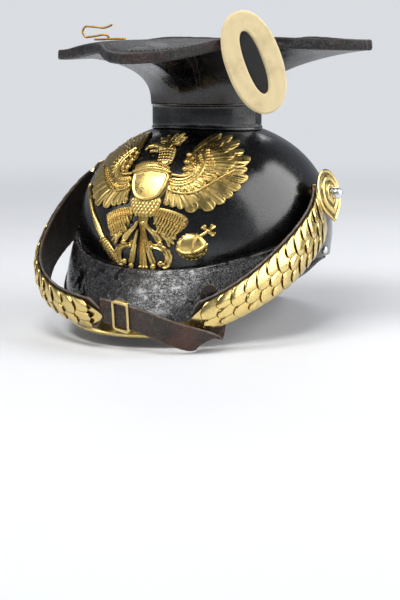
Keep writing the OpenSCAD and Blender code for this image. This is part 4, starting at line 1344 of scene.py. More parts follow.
@dataclass
class NeckAndBoard(SubAssembly):
    """The neck, its flare, the square board and the bound edge."""

    wall: float = 2.5
    roll_r: float = 1.5
    lip: float = 0.9
    neck_seam: float = 85.0
    flare_seam: float = 19.0

    def build(self) -> None:
        """Makes the four pieces and their stitches."""
        self._neck()
        self._flare()
        self._welt()
        self._board()

    def _neck(self) -> None:
        """The neck tube on the dome, with the roll at its foot and its side seam."""
        a = full_turn(144)[:, None]
        r = BOARD.neck_r
        foot = HEAD.top_at(r * np.sin(a), -r * np.cos(a)) + HEAD.clear
        foot_in = HEAD.top_at((r - self.wall) * np.sin(a), -(r - self.wall) * np.cos(a)) + HEAD.clear
        b = np.linspace(-0.5, 1.2, 9)[None, :]
        roll_r = r - 0.9 + self.roll_r * np.cos(b)
        roll_z = foot + self.roll_r * (1 + np.sin(b)) - 0.55
        up = np.linspace(0, 1, 14)[None, 1:]
        top = BOARD.seam_z - HEAD.clear / 2
        wall_z = foot + 2.7 + (top - 2.2 - foot - 2.7) * up
        turn = np.degrees(a) - self.neck_seam
        step = 0.45 * (smooth(-1, 0, turn) - smooth(6, 9, turn))
        wall_r = r - 0.12 + step + 0.25 * bell(up, 0.5, 0.5) * np.sin(3 * a)
        lip = np.array([[0.55, 1.5], [self.lip, 1.1], [self.lip, 0.2], [self.lip - 0.25, 0.0],
                        [-self.wall, 0.0]])
        lip_r = r + lip[None, :, 0] + 0 * a
        lip_z = top - lip[None, :, 1] + 0 * a
        rr = np.concatenate([np.full_like(foot_in, r - self.wall), roll_r + 0 * a, wall_r, lip_r], 1)
        zz = np.concatenate([foot_in, roll_z, wall_z, lip_z], 1)
        rings = around(a, rr, zz)
        relief = np.full(rr.shape, 0.4)
        relief[:, 1:10] = 0.58
        relief[:, -6:-2] = 0.75
        form = loft(rings, True, a[:, 0] * r, zz[0], relief)
        self.piece("neck_leather", form, "lacquer", "black_leather", "neck", 60)

    def _flare(self) -> None:
        """The leather that spreads from the neck to the board's edge."""
        a = BOARD.turns(56)[:, None]
        s = (np.linspace(0, 1, 26) ** 1.6)[None, :]
        front = BOARD.flare(a, s)
        ahead = BOARD.flare(a, s + 0.01) - front
        side = spread(np.cos(a), np.sin(a), 0.0)
        inward = unit(np.cross(ahead, side))
        inward[:, 0] = np.concatenate([-np.sin(a), np.cos(a), 0 * a], 1)
        back = front + inward * BOARD.flare_t
        groove = bell(np.degrees(a), self.flare_seam, 0.7) * smooth(0.0, 0.1, s)
        front = front + inward * (0.6 * groove[..., None])
        seam = length_along(BOARD.flare(np.array([[0.6]]), s)[0])
        relief = 0.35 + 0.5 * groove + 0.5 * (1 - smooth(0, 0.02, s)) + 0 * a
        form = sheet(front, back, a[:, 0] * 70, seam, relief, 0.2, True)
        self.piece("flare_leather", form, "flare", "black_leather", "neck_flare", 60)
        for k, shift in enumerate((-1.6, 1.6)):
            line = BOARD.flare(np.radians(self.flare_seam + shift), np.linspace(0.02, 0.9, 60) ** 1.6)
            line = line - np.array([0, 0, 0.15])
            self.stitch(f"flare_stitches_{k}", line, "neck_flare", "black_leather", 2.6, 1.7, 0.45)

    def _welt(self) -> None:
        """The worn leather edge: an even roll with the creases of its binding."""
        a = BOARD.turns(96)
        b = full_turn(22)
        round_a, round_r = np.append(a, TAU), np.append(BOARD.out(a), BOARD.out(a[:1]))
        gone = length_along(around(round_a, round_r, 0.0))[:-1]
        pulse = 0.16 * np.sin(gone * 1.9 + 1.3 * np.sin(gone * 0.21)) + 0.1 * np.sin(gone * 0.37)
        cs, sn = np.cos(b), np.sin(b)
        c, s = signed_power(cs, 0.62), signed_power(sn, 0.62)
        lace = 0.14 * np.sin(gone[:, None] * 1.5 + 2.2 * s[None, :])
        half_t = BOARD.welt_t / 2 - 0.1
        half_h = BOARD.welt_h / 2 - 0.1
        out = (half_t + np.where(c > 0.5, pulse[:, None] + lace, 0)) * c[None, :]
        up = (half_h + 0.5 * pulse[:, None]) * s[None, :]
        r = BOARD.out(a)[:, None] - BOARD.welt_t / 2 + out
        z = BOARD.edge_z(a)[:, None] + BOARD.welt_over - BOARD.welt_h / 2 + up
        rings = around(a[:, None], r, z)
        corner = np.abs(np.cos(2 * a)) ** 30
        relief = np.clip(0.45 + 0.3 * corner[:, None] + 0.25 * (np.abs(s) > 0.7)[None, :] + 0 * r, 0, 1)
        form = loft(rings, True, gone, b * 3.4, relief)
        self.piece("board_edge_binding", form, "welt", "worn_leather", "board_welt")

    def _board(self) -> None:
        """The board itself, with a sewn line inside its edge."""
        a = BOARD.turns(48)
        shares = np.concatenate([np.linspace(0.02, 0.9, 24), np.linspace(0.92, 1, 6)])
        top = np.array([BOARD.point(a, s, 0.35 * math.sin(9 * s) * (1 - s)) for s in shares])
        under = np.array([BOARD.point(a, s, -BOARD.thick) for s in (1.0, 0.7, 0.35, 0.02)])
        rings = np.concatenate([top, under])
        form = loft(rings, along=np.concatenate([shares * 100, [103, 130, 160, 200]]), across=a * 60)
        self.piece("board_leather", form, "board", "black_leather", "mortarboard")
        line = BOARD.point(BOARD.turns(60), 0.955, 0.15)
        self.stitch("board_stitches", line, "mortarboard", "black_leather", 3.2, 2.0, 0.4, True)


@dataclass
class VisorForm:
    """The front visor between its seam on the skull and its rim."""

    half_w: float = 93.0
    reach: float = 139.0
    dip: float = 35.0
    rim_rise: float = 58.0
    seam_z: float = 7.0
    seam_rise: float = 32.0
    bulge: float = 2.2
    thick: float = 2.6
    end: float = math.radians(73.0)

    def seam(self, a: Array) -> Array:
        """Points of the seam on the skull.

        Args:
            a: Turns from the front.

        Returns:
            The points.
        """
        z = self.seam_z + self.seam_rise * (1 - np.cos(a))
        high = np.clip((z - HEAD.side_h) / (HEAD.rise + HEAD.clear), 0, 1) ** (HEAD.fullness / 2)
        low = HEAD.side(a, np.minimum(z, HEAD.side_h), HEAD.clear)
        return np.where((z < HEAD.side_h)[..., None], low, HEAD.dome(a, np.arcsin(high), HEAD.clear))

    def rim(self, a: Array) -> Array:
        """Points of the rim."""
        return around(a, self.half_w, -self.dip + self.rim_rise * (1 - np.cos(a)) ** 1.5, self.reach)

    def outward(self, a: Array) -> Array:
        """Direction off the visor's outer face."""
        way = spread(HEAD.half_w * np.cos(a), HEAD.half_l * np.sin(a), 0.0)
        return unit(np.cross(self.rim(a) - self.seam(a), way))

    def point(self, a: Array, v: Array | float, off: Array | float) -> Array:
        """Points of the visor from its seam, 0, to its rim, 1.

        Args:
            a: Turns from the front.
            v: From the seam to the rim.
            off: Distance off the outer face.

        Returns:
            The points.
        """
        v = np.asarray(v, float)
        lift = np.asarray(off + 4 * v * (1 - v) * self.bulge)[..., None]
        v = v[..., None]
        return self.seam(a) * (1 - v) + self.rim(a) * v + self.outward(a) * lift


VISOR = VisorForm()


@dataclass
class Visors(SubAssembly):
    """The front visor, its brass channel and the short rear peak."""

    trim_w: float = 8.0
    trim_t: float = 0.8
    gap: float = 0.25
    ease: float = 0.35
    peak_drop: float = 20.0
    peak_reach: float = 12.0
    peak_turn: float = 46.0

    def build(self) -> None:
        """Makes the three pieces and the seams."""
        self._visor()
        self._trim()
        self._peak()

    def _visor(self) -> None:
        """The lacquered visor with a raised bead along its sewn edge."""
        a = np.linspace(-VISOR.end, VISOR.end, 121)[:, None]
        v = np.linspace(0, 1, 30)[None, :]
        a2, v2 = np.broadcast_arrays(a, v)
        bead = 0.55 * bell(v2, 0.012, 0.022) - 0.28 * bell(v2, 0.075, 0.02)
        front = VISOR.point(a2, v2, VISOR.thick + bead)
        back = VISOR.point(a2, v2, 0.0)
        relief = np.clip(0.4 + 0.55 * bell(v2, 0.0, 0.03) + 0.25 * bell(v2, 1.0, 0.08), 0, 1)
        form = sheet(front, back, a[:, 0] * 120, v[0] * 50, relief, 0.3)
        self.piece("visor_leather", form, "visor", "black_leather", "front_visor", 60)
        line = VISOR.point(np.linspace(-VISOR.end + 0.03, VISOR.end - 0.03, 160), np.full(160, 0.075),
                           VISOR.thick - 0.05)
        self.stitch("visor_stitches", line, "front_visor", "black_leather", 3.0, 1.9, 0.34)

    def _trim(self) -> None:
        """The brass channel, folded over the rim with a smooth nose."""
        a = np.linspace(-VISOR.end, VISOR.end, 141)
        o = VISOR.outward(a)
        p = VISOR.rim(a)
        d = unit(VISOR.point(a, np.full_like(a, 1.0), 0.0) - VISOR.point(a, np.full_like(a, 0.94), 0.0))
        mid, tall = VISOR.thick / 2, VISOR.thick / 2 + self.gap
        b = np.linspace(math.pi / 2, -math.pi / 2, 13)
        lip_top, lip_low = -self.trim_w * 1.05, -self.trim_w * 0.4

        def face(off: float, nose: float) -> list[tuple[float, float]]:
            """Section of one face of the brass, from the outer lip over the nose.

            Args:
                off: The face's distance from the brass's middle.
                nose: How far its nose reaches.

            Returns:
                The section's points, outwards and up.
            """
            h = tall + off
            ends = [(lip_top, mid + h + self.ease), (lip_top * 0.6, mid + h + self.ease * 0.8)]
            ends.append((lip_top * 0.25, mid + h + 0.1))
            turn = [(nose * math.cos(t), mid + h * math.sin(t)) for t in b]
            return ends + turn + [(lip_low * 0.35, mid - h - 0.1), (lip_low, mid - h - self.ease)]

        outer = face(self.trim_t, self.gap + self.trim_t)
        inner = face(0.0, self.gap)
        outer[0:0] = [(lip_top - 0.25, mid + tall + self.ease + self.trim_t * 0.5)]
        outer.append((lip_low - 0.25, mid - tall - self.ease - self.trim_t * 0.5))
        section = np.array(outer + inner[::-1])
        rings = p[:, None] + d[:, None] * section[None, :, :1] + o[:, None] * section[None, :, 1:]
        # Lower relief at the outer lip, where the brass meets the visor, which the brass finish paints as
        # shade.
        relief = np.clip(0.72 - 0.5 * bell(section[:, 0], lip_top, 0.6), 0, 1)[None, :] + 0 * rings[..., 0]
        form = loft(rings, along=a * 139, across=np.arange(len(section)) * 0.8, relief=relief)
        self.piece("visor_channel", form, "trim", "brass", "visor_trim", 45)

    def _peak(self) -> None:
        """The short peak at the nape, with its seam."""
        turn = math.radians(self.peak_turn)
        a = np.linspace(math.pi - turn + 0.035, math.pi + turn - 0.035, 81)[:, None]
        v = np.linspace(0, 1, 16)[None, :]
        a2, v2 = np.broadcast_arrays(a, v)
        w = np.cos((a2 - math.pi) * math.pi / 2 / turn) ** 2

        def face(off: Array | float) -> Array:
            """One face of the peak.

            Args:
                off: Distance off the leather.

            Returns:
                The face's points.
            """
            p = HEAD.side(a2, HEAD.edge(a2) + 7, HEAD.clear + off)
            out = around(a2, 1.0, 0.0) * (self.peak_reach * w * v2 * v2)[..., None]
            return p + out - spread(0.0, 0.0, (8 + self.peak_drop * w) * v2)

        bead = 0.4 * bell(v2, 0.98, 0.05) - 0.2 * bell(v2, 0.2, 0.03)
        form = sheet(face(2.6 + bead), face(0.0), a[:, 0] * 110, v[0] * 28, 0.4 + 0.5 * bell(v2, 1.0, 0.08))
        self.piece("rear_peak_leather", form, "visor", "black_leather", "rear_peak", 60)
        a2, v2 = np.linspace(math.pi - turn + 0.1, math.pi + turn - 0.1, 120), np.full(120, 0.2)
        w = np.cos((a2 - math.pi) * math.pi / 2 / turn) ** 2
        self.stitch("rear_peak_stitches", face(2.55), "rear_peak", "black_leather", 3.0, 2.0, 0.5)


@dataclass
class Liner(SubAssembly):
    """The sweatband and the lining's tongues inside the skull."""

    low: float = 10.0
    height: float = 28.0
    thick: float = 1.6
    tongues: int = 8

    def build(self) -> None:
        """Makes the band, its seam and the tongues."""
        w, l = (h * (1 - HEAD.waist) - HEAD.wall - HEAD.clear for h in (HEAD.half_w, HEAD.half_l))
        a = full_turn(160)[:, None]
        q = np.linspace(0, 1, 12)[None, :]
        z = self.low + self.height * q

        def face(off: Array | float) -> Array:
            """One face of the band."""
            return around(a, w + off, z, l + off)

        soft = -0.25 - 0.2 * np.sin(9 * a) * q + 0.3 * bell(q, 0.08, 0.05)
        form = sheet(face(-self.thick + soft), face(0.0), a[:, 0] * 100, q[0] * self.height,
                     0.4 + 0.5 * bell(q, 0, 0.1), 0.3, True)
        self.piece("sweatband_leather", form, "tan", "lining_leather", "sweatband")
        inner = face(-self.thick - 0.35)[:, 2]
        self.stitch("sweatband_stitches", inner, "sweatband", "lining_leather", 4.0, 2.6, 0.6, True)
        forms = [self._tongue(i) for i in range(self.tongues)]
        self.piece("lining_leather_tongues", Form.joined(forms), "tan", "lining_leather", "lining_tongues")

    def _tongue(self, i: int) -> Form:
        """One tongue: sewn inside the band, and bent over towards the crown.

        Args:
            i: Its number round the band.

        Returns:
            The tongue.
        """
        climbs = np.radians([0, 14, 28, 42, 55, 66, 74])
        count, thick = len(climbs), 1.2
        back = HEAD.wall + HEAD.clear + self.thick + HEAD.clear + thick + 0.4
        cols = np.linspace(-1, 1, 9)
        faces = []
        for off in (thick, 0.0):
            rows = []
            for q in range(count + 1):
                narrow = 1 - 0.3 * q / count
                a = (i + 0.5) * TAU / self.tongues + cols * math.radians(150) / self.tongues * narrow
                if q < 2:
                    wide, long = (h * (1 - HEAD.waist) - back + off for h in (HEAD.half_w, HEAD.half_l))
                    rows.append(around(a, wide, self.low + (14 if q == 0 else self.height), long))
                else:
                    rows.append(HEAD.dome(a, climbs[q - 1], off - HEAD.wall - 9) - [0, 0, 2])
            rows = np.array(rows)
            fine = np.stack([smooth_line(rows[:, c], 34) for c in range(len(cols))], 1)
            narrow = 1 - 0.55 * smooth(0.8, 1.0, np.linspace(0, 1, 34)) ** 2
            mid = fine[:, len(cols) // 2][:, None]
            faces.append(mid + (fine - mid) * narrow[:, None, None])
        ripple = 0.25 * np.sin(np.linspace(0, 14, 34) + i)[:, None] * (1 - cols**2)[None, :]
        faces[1] = faces[1] + unit(faces[1] - faces[0]) * np.abs(ripple)[..., None]
        edge = np.clip(0.35 + 0.6 * np.abs(cols) ** 6, 0, 1)[None, :]
        return sheet(faces[0], faces[1], np.linspace(0, 120, 34), cols * 18, edge + np.zeros((34, 1)))


# ---- The front plate ----


@dataclass
class EaglePlate(SubAssembly):
    """The brass eagle: feathers, beads and scrolls laid on the dome, from a flat drawing."""

    shift: float = 3.5
    lean: float = 1.0
    orb_at: tuple[float, float] = (34.4, 26.1)
    orb_r: float = 9.8
    orb_h: float = 5.0
    wing_tips: tuple = ((28.5, 101, 4.3), (36.5, 98.6, 3.6), (43.4, 94.6, 3.6), (49.4, 88.8, 2.9),
                        (55.6, 82.4, 4.2), (56.8, 76.8, 2.8), (59.4, 70.8, 3.3), (57.3, 64.9, 2.9),
                        (54.4, 60.2, 2.9), (51, 56, 2.9), (45.4, 51.8, 4.2), (34.6, 50.4, 4.4),
                        (26.4, 52.2, 3), (20.6, 53.2, 2.6), (15.4, 54.4, 2.4))
    covert_tips: tuple = ((35, 95), (41.5, 91.2), (46.4, 86), (49.3, 80.2), (47.6, 75.6), (42.4, 71.8),
                          (37.4, 67.4), (31.8, 63.7), (24.9, 62.9), (17.4, 64.4))
    thigh: tuple = ((7, 53.4), (15.8, 52.2), (23.5, 50.2), (29.3, 47.6), (31.8, 44.2), (30.8, 40.4),
                    (28.2, 37.6), (25.4, 35), (20.6, 32.9), (14.8, 32.4), (11.4, 35.3),
                    (9.6, 40.3), (7.2, 46))
    forms: list[Form] = field(default_factory=list)
    beads: list[tuple] = field(default_factory=list)

    def lay(self, xz: Array, lift: Array) -> Array:
        """Drawing to dome."""
        xz = np.asarray(xz, float)
        return HEAD.front_at(xz + [self.shift, 0.0], lift)

    def petal(self, line: Sequence, half: Sequence[float], lift: float, height: float, ribs: Curve,
              steps: int = 16, cols: int = 11, tip: float = 1.0, rise: float = 0.0) -> None:
        """Adds a long raised piece with rounded ends.

        Args:
            line: Its middle line in the drawing.
            half: Its half width along the line, evenly spaced.
            lift: Lift of its edges.
            height: Height of its crest over the edges.
            ribs: The crest's shape across, from -1 to 1.
            steps: Points along.
            cols: Points across.
            tip: Length of the rounded end, in half widths.
            rise: How much the far end lies higher.
        """
        fine = smooth_line(line, 200)
        total = length_along(fine)[-1]
        end = min(0.6, tip * half[-1] / total)
        start = min(0.3, half[0] / total)
        arc = np.linspace(0, math.pi / 2, 7)[1:]
        u = np.concatenate([start * (1 - np.cos(arc * 0.97)), np.linspace(start, 1 - end, steps),
                            1 - end + end * np.sin(arc)])
        u = np.unique(np.round(u, 6))
        p = np.stack([np.interp(u, np.linspace(0, 1, 200), fine[:, k]) for k in (0, 1)], -1)
        w = np.interp(u, np.linspace(0, 1, len(half)), half)
        closing = np.sqrt(np.clip(1 - (np.clip((u - 1 + end) / end, 0, 1) * 0.985) ** 2, 0.02, 1))
        opening = np.sqrt(np.clip(1 - (np.clip((start - u) / start, 0, 1) * 0.95) ** 2, 0.05, 1))
        w = w * closing * opening
        way = unit(np.gradient(p, axis=0))
        side = np.stack([way[:, 1], -way[:, 0]], -1)
        c = np.linspace(-1, 1, cols)
        flat = p[:, None] + side[:, None] * (w[:, None] * c)[..., None]
        shape = ribs(c)
        top = lift + rise * u[:, None] + (height * shape[None, :] * (closing * opening)[:, None] ** 0.5)
        low = np.full_like(top, UNDERSIDE)
        # The petal's edges get low relief, which the brass paints darker as shade between the raised pieces.
        relief = np.clip(shape[None, :] * 0.9 + 0.08 + 0 * top, 0, 1)
        faces = self.lay(flat, top), self.lay(flat, low)
        self.forms.append(sheet(*faces, length_along(p), c * np.max(half), relief, 0.0))

    def raised(self, outline: Sequence, count: int, centre: Sequence[float], heights: Curve,
               rings: int = 12) -> None:
        """Adds a raised piece inside an outline whose last point is its first."""
        self.forms.append(dish(self.lay, smooth_line(outline, count)[:-1], centre, heights, rings))

    @staticmethod
    def feather(c: Array) -> Array:
        """A feather across: two rounded vanes with a quill between raised rims.

        Args:
            c: Places across, -1 to 1.

        Returns:
            The heights there.
        """
        out = np.abs(c)
        vanes = 0.45 * (1 - out**4) + 0.5 * bell(c, 0, 0.16)
        return vanes + 0.28 * bell(out, 0.74, 0.17) - 0.1 * bell(out, 0.4, 0.12)

    @staticmethod
    def round(c: Array) -> Array:
        """A plain round crest."""
        return crest(c)

    @staticmethod
    def stem(c: Array) -> Array:
        """The tail's stem across: five round ridges."""
        return 0.45 * crest(c) + 0.5 * np.cos(c * 2.5 * math.pi) ** 2 * (1 - 0.5 * np.abs(c))

    @staticmethod
    def channel(c: Array) -> Array:
        """A scroll across: a hollow between two rims."""
        return 0.35 + 0.65 * bell(np.abs(c), 0.62, 0.3) - 0.35 * np.abs(c) ** 8

    def bead(self, x: float, z: float, size: tuple[float, float, float], lift: float,
             way: tuple[float, float] = (1, 0)) -> None:
        """Adds one bead: its half sizes along, across and out."""
        self.beads.append((x, z, size, lift, way))

    def mirror(self, m: float, points: Sequence[Sequence[float]]) -> list[tuple[float, float]]:
        """Places of the viewer's right side as they are, or turned over to the left side for m of -1."""
        return [(m * q[0] - (1 - m) * self.lean, q[1]) for q in points]

    @staticmethod
    def between(a: Sequence[float], b: Sequence[float]) -> tuple[float, float]:
        """The place halfway."""
        return (a[0] + b[0]) / 2, (a[1] + b[1]) / 2

    def marks(self, line: Sequence, count: int, size: tuple[float, float, float], lift: float) -> None:
        """Adds short bars across a line of the drawing.

        Args:
            line: The line.
            count: How many bars.
            size: A bar's length, width and height.
            lift: Height over the leather.
        """
        p = smooth_line(line, count)
        for q, w in zip(p, unit(np.gradient(p, axis=0))):
            self.bead(q[0], q[1], size, lift, (w[1], -w[0]))

    def wing(self, m: float) -> None:
        """One wing, the viewer's right for m of 1 and the left for m of -1.

        Args:
            m: The side.
        """
        tips = np.array(self.wing_tips)
        inner = [(13.4, 60), (12.6, 68), (13.4, 73.4), (17.5, 74), (20.6, 76), (20.4, 79.5), (18.6, 83.5),
                 (17.8, 87.5)]
        ground = [(20, 91)] + [(x - 2.6, 74 + (z - 74) * 0.93) for x, z, _ in self.wing_tips] + inner
        middle, = self.mirror(m, [(32, 74)])
        self.raised(self.mirror(m, ground + ground[:1]), 97, middle, lambda o: 0.8 - 0.15 * o**6)
        roots = smooth_line([(21.5, 89.5), (24.5, 85), (26, 79), (24, 73), (19, 69), (14.5, 66)], len(tips))
        for i, (root, (x, z, half)) in enumerate(zip(roots, self.wing_tips)):
            way = np.array([x, z]) - root
            bend = root + way * 0.6 + np.array([-way[1], way[0]]) * 0.035
            low = 0.9 + 0.22 * (i % 2) if half < 3.5 else 1.25
            self.petal(self.mirror(m, [root, bend, (x, z)]),
                       [half * 0.62, half * 0.8, half * 0.95, half], low, 1.05, self.feather, 15,
                       15, 0.95, 0.2)
        roots = smooth_line([(22.5, 88.5), (25.5, 84), (26.5, 79), (24.5, 73.5), (20, 70), (15, 68)],
                            len(self.covert_tips))
        for i, (root, tip) in enumerate(zip(roots, self.covert_tips)):
            way = np.array(tip) - root
            bend = root + way * 0.6 + np.array([-way[1], way[0]]) * 0.05
            self.petal(self.mirror(m, [root, bend, tip]), [2.1, 2.6, 3.0, 2.9], 1.75 + 0.15 * (i % 2), 0.85,
                       self.feather, 12, 13, 0.9, 0.15)
        self.petal(self.mirror(m, [(16.6, 63.9), (24.8, 62.4), (31.8, 63.1), (38.2, 67.1), (44.6, 72.6),
                                   (50.6, 77.2)]),
                   [0.7, 0.8, 0.8, 0.6], 2.2, 1.0, self.round, 30, 7)
        self.marks(self.mirror(m, [(17, 66), (24, 64.8), (30, 65.6), (36, 69.6), (42.5, 75)]), 15,
                   (1.7, 0.5, 0.8), 2.7)
        self.marks(self.mirror(m, [(33.5, 86.5), (37.5, 81.5), (38, 77.5)]), 5, (1.7, 0.8, 0.8), 2.7)
        self.marks(self.mirror(m, [(29.5, 90), (32.5, 85), (34.8, 79.5), (33.5, 73.5)]), 9,
                   (1.9, 0.9, 0.9), 2.8)
        band = [(14.2, 70.6), (19, 69.4), (24.6, 69.9), (29, 72.8), (31.2, 77.4), (30.4, 82),
                (26.8, 86.6), (22.4, 90)]
        self.petal(self.mirror(m, band), [2.9, 3.1, 2.9, 2.4, 1.7], 2.2, 1.25, self.channel, 34, 11)
        self.marks(self.mirror(m, band[:-1]), 17, (1.5, 0.5, 0.6), 3.1)
        self.petal(self.mirror(m, [(14.4, 74.2), (19, 73.6), (23.4, 73.4), (26.6, 74.6), (28.9, 77.6),
                                   (28.3, 81), (24.8, 86)]),
                   [0.7, 0.8, 0.8, 0.7], 2.6, 1.2, self.round, 30, 7)
        for x, z, r in ((19.4, 87.6, 2.2), (20.4, 83, 2.3), (21.4, 78.4, 2.3), (25.8, 81.4, 1.7),
                        (25.6, 77.6, 1.6), (23.6, 75.2, 1.4), (23.4, 85, 1.4)):
            (x, z), = self.mirror(m, [(x, z)])
            self.bead(x, z, (r, r, 1.7), 2.0)

    def leg(self, m: float) -> None:
        """One feathered thigh with its rows, its foot and claws.

        Args:
            m: The side, 1 or -1.
        """
        middle, = self.mirror(m, [(19, 43)])
        self.raised(self.mirror(m, self.thigh + self.thigh[:1]), 73, middle,
                    lambda o: 0.5 + 0.4 * crest(o, 3))
        rows = (([(9.4, 52), (16, 50.8), (23.5, 48.4), (29, 45)], 12, (-2.2, -5.4), 1.25, 1.5),
                ([(11, 46.2), (15, 45.4), (21, 43.2), (27, 40)], 9, (-2.4, -5.2), 1.3, 2.1),
                ([(12.6, 40.4), (15, 40), (20, 38.2), (24.5, 36)], 7, (-2.2, -5.4), 1.35, 2.0))
        for line, count, drop, half, lift in rows:
            for q in smooth_line(line, count):
                ends = [q, (q[0] + drop[0] * 0.4, q[1] + drop[1] * 0.5), (q[0] + drop[0], q[1] + drop[1])]
                self.petal(self.mirror(m, ends), [half * 0.55, half * 0.8, half * 0.8], lift - 0.4, 1.7,
                           self.round, 6, 9)
        for x, z in ((30.4, 44.6), (29.6, 41), (27, 37.8), (23.6, 35.2)):
            self.petal(self.mirror(m, [(x - 4, z + 2.6), (x - 2, z + 1.2), (x, z)]), [1.2, 1.5, 1.5], 1.2,
                       1.1, self.round, 6, 9)
        self.petal(self.mirror(m, [(15, 35), (17.3, 32.5), (18.4, 30)]), [2.6, 2.2, 1.8], 1.0, 2.0,
                   self.round, 8, 9)
        for end in ((20.4, 25.6), (23.4, 27.6), (24.8, 31.6)):
            x, z = self.between((18, 31), end)
            self.petal(self.mirror(m, [(18, 31), (x, z + 1), end]), [1.5, 1.4, 0.8], 1.6, 1.5,
                       self.round, 8, 7)

    def tail(self, m: float) -> None:
        """One half of the pierced tail: three scrolls and their knobs.

        Args:
            m: The side, 1 or -1.
        """
        self.petal(self.mirror(m, [(2.2, 43), (4.4, 38.6), (8.6, 35), (12, 31.4), (13.4, 28.4)]),
                   [1.0, 1.5, 1.9, 2.5, 2.7], 0.8, 1.2, self.channel, 20, 9)
        self.petal(self.mirror(m, [(5.6, 29.5), (8.4, 26.2), (13, 25.2), (17.4, 22.6), (19.2, 17.6),
                                   (17.6, 12.4), (13.6, 11.8)]),
                   [1.0, 1.8, 2.5, 3.1, 3.2, 2.7, 1.9], 0.7, 1.3, self.channel, 34, 11)
        self.petal(self.mirror(m, [(1.6, 37), (3.4, 30), (5, 23), (6.6, 16.6), (8.6, 12)]),
                   [0.9, 1.4, 2.0, 2.5, 2.3], 0.7, 1.2, self.channel, 24, 9)
        for x, z, r in ((13.4, 13.2, 2.4), (7.6, 10.6, 2.3), (13.4, 27.4, 2.3), (7.4, 25.2, 1.6)):
            (x, z), = self.mirror(m, [(x, z)])
            self.bead(x, z, (r, r, 1.5), 1.5)

    def body(self) -> None:
        """Chest with its plain shield, the arch over it, belly, stem, neck, head and crown."""
        chest = [(-17.2, 75), (-14.8, 66.4), (-11.4, 60), (-6, 56.4), (0, 55), (5.6, 56.6), (11, 60.2),
                 (14.2, 66.6), (14, 76), (9.6, 79.8), (2.4, 83.4), (-5.6, 83.9), (-13, 82.4), (-17.2, 78.6),
                 (-17.2, 75)]
        self.raised(chest, 81, (-1.4, 70), lambda o: 0.6 + 2.3 * crest(o, 3))
        shield = [(-15, 74.2), (-13.6, 66.6), (-10.4, 60.6), (-5.6, 57.6), (0, 56.8), (5.2, 57.8), (10, 60.8),
                  (12.6, 66.8), (12.6, 74.8), (6, 76.6), (-1.2, 77.2), (-8, 76.4), (-15, 74.2)]
        self.raised(shield, 81, (-1.2, 67), lambda o: 2.9 + 0.2 * (1 - o**2) + 0.12 * np.cos(o * 60) * (1 - o)
                    + 0.6 * bell(o, 0.92, 0.05) - 0.5 * smooth(0.97, 1, o), 30)
        arch = [(-16.2, 76), (-16.2, 78.8), (-12.6, 81.8), (-5.6, 83.2), (2.2, 82.7), (9, 79.4), (12.6, 76.4),
                (6, 78.2), (-1.2, 78.9), (-8.4, 78), (-16.2, 76)]
        self.raised(arch, 73, (-1.6, 80.8), lambda o: 3.0 + 0.5 * (1 - o**2) - 0.4 * smooth(0.9, 1, o))
        self.marks([(-14.6, 78.2), (-8, 80.6), (-1.4, 81.2), (5, 80.4), (11, 77.8)], 19, (1.2, 0.5, 0.6), 3.5)
        self.petal([(-16.4, 74.8), (-9, 77), (-1.4, 77.9), (6, 77.2), (13.4, 75.4)], [0.9, 1.1, 1.1, 0.9],
                   2.6, 1.5, self.round, 24, 9)
        for z, half, count in ((56.6, 10.6, 9), (54.4, 10, 8), (52.2, 9, 7), (50, 7.4, 6), (47.9, 5.6, 5)):
            for x in np.linspace(-half, half, count):
                self.bead(x - 0.4, z, (2.2, 1.35, 0.9), 1.5 - 0.03 * abs(x), (x * 0.03, -1))
        self.raised([(-11.4, 59), (-10.4, 52), (-5.4, 47), (0, 45.6), (5, 47), (9.8, 52), (10.8, 59), (0, 62),
                     (-11.4, 59)], 57, (0, 54), lambda o: 0.6 + 1.1 * crest(o, 3))
        self.petal([(0, 50), (0, 44), (0.4, 35), (0.4, 26), (0.2, 9.6)], [4.6, 3.9, 1.9, 1.8, 2.4, 3.0, 3.5],
                   0.8, 1.9, self.stem, 26, 17, 0.35)
        self.bead(0.2, 41.6, (2.2, 1.8, 1.3), 1.7)
        for x in (-2.4, 0.2, 2.8):
            self.bead(x, 10.2, (1.5, 1.3, 1.1), 1.4)
        self.petal([(4.8, 80.5), (4.8, 85), (3.6, 89), (0.8, 92.4)], [5.6, 5.3, 5, 4.2], 0.9, 2.6,
                   self.round, 16, 13)
        for z, left, right in ((83.6, -0.6, 10), (85.4, -1, 9.6), (87.2, -1.6, 8.9), (89, -2.6, 8.3),
                               (90.7, -3, 7.8)):
            middle, half = (left + right) / 2, (right - left) / 2
            for x in np.linspace(left + 0.6, right - 0.6, 6):
                rise = math.sqrt(max(0.08, 1 - ((x - middle) / (half + 0.8)) ** 2))
                self.bead(x, z, (1.7, 1.0, 0.7), 0.9 + 2.5 * rise, (0.1, -1))
        self.petal([(4, 92.2), (-1, 92.6), (-6, 91.8)], [3.6, 3.7, 2.3], 1.4, 2.8, self.round, 10, 11)
        self.petal([(-3.6, 93), (-9.4, 93.4), (-14, 92), (-15.6, 89.6)], [2.1, 1.7, 1.2, 0.6], 1.4, 1.9,
                   self.round, 16, 9)
        self.petal([(-4, 90.2), (-8.6, 90.2), (-11.6, 89.2)], [1.3, 1, 0.6], 1.1, 1.3, self.round, 10, 7)
        self.bead(-2.6, 93.3, (1.0, 1.0, 0.8), 3.9)
        crown = [(-7, 94.4), (-9.4, 96.6), (-7, 98.6), (-2, 98.6), (1.6, 99.6), (6.6, 100), (8.2, 97),
                 (7.4, 94), (1, 94.6), (-7, 94.4)]
        self.raised(crown, 57, (0, 96.8), lambda o: 1.2 + 0.9 * crest(o))
        self.petal([(-6.8, 94.6), (0, 95.3), (7.4, 94.6)], [1, 1.2, 1], 1.8, 1.6, self.channel, 14, 9)
        for base, tip in (((-5, 95.6), (-9, 97.6)), ((-2.8, 96), (-5.2, 99.4)), ((0.2, 96), (0.4, 100.4)),
                          ((3, 95.8), (5, 100.8)), ((5.6, 95.4), (8.8, 98.6))):
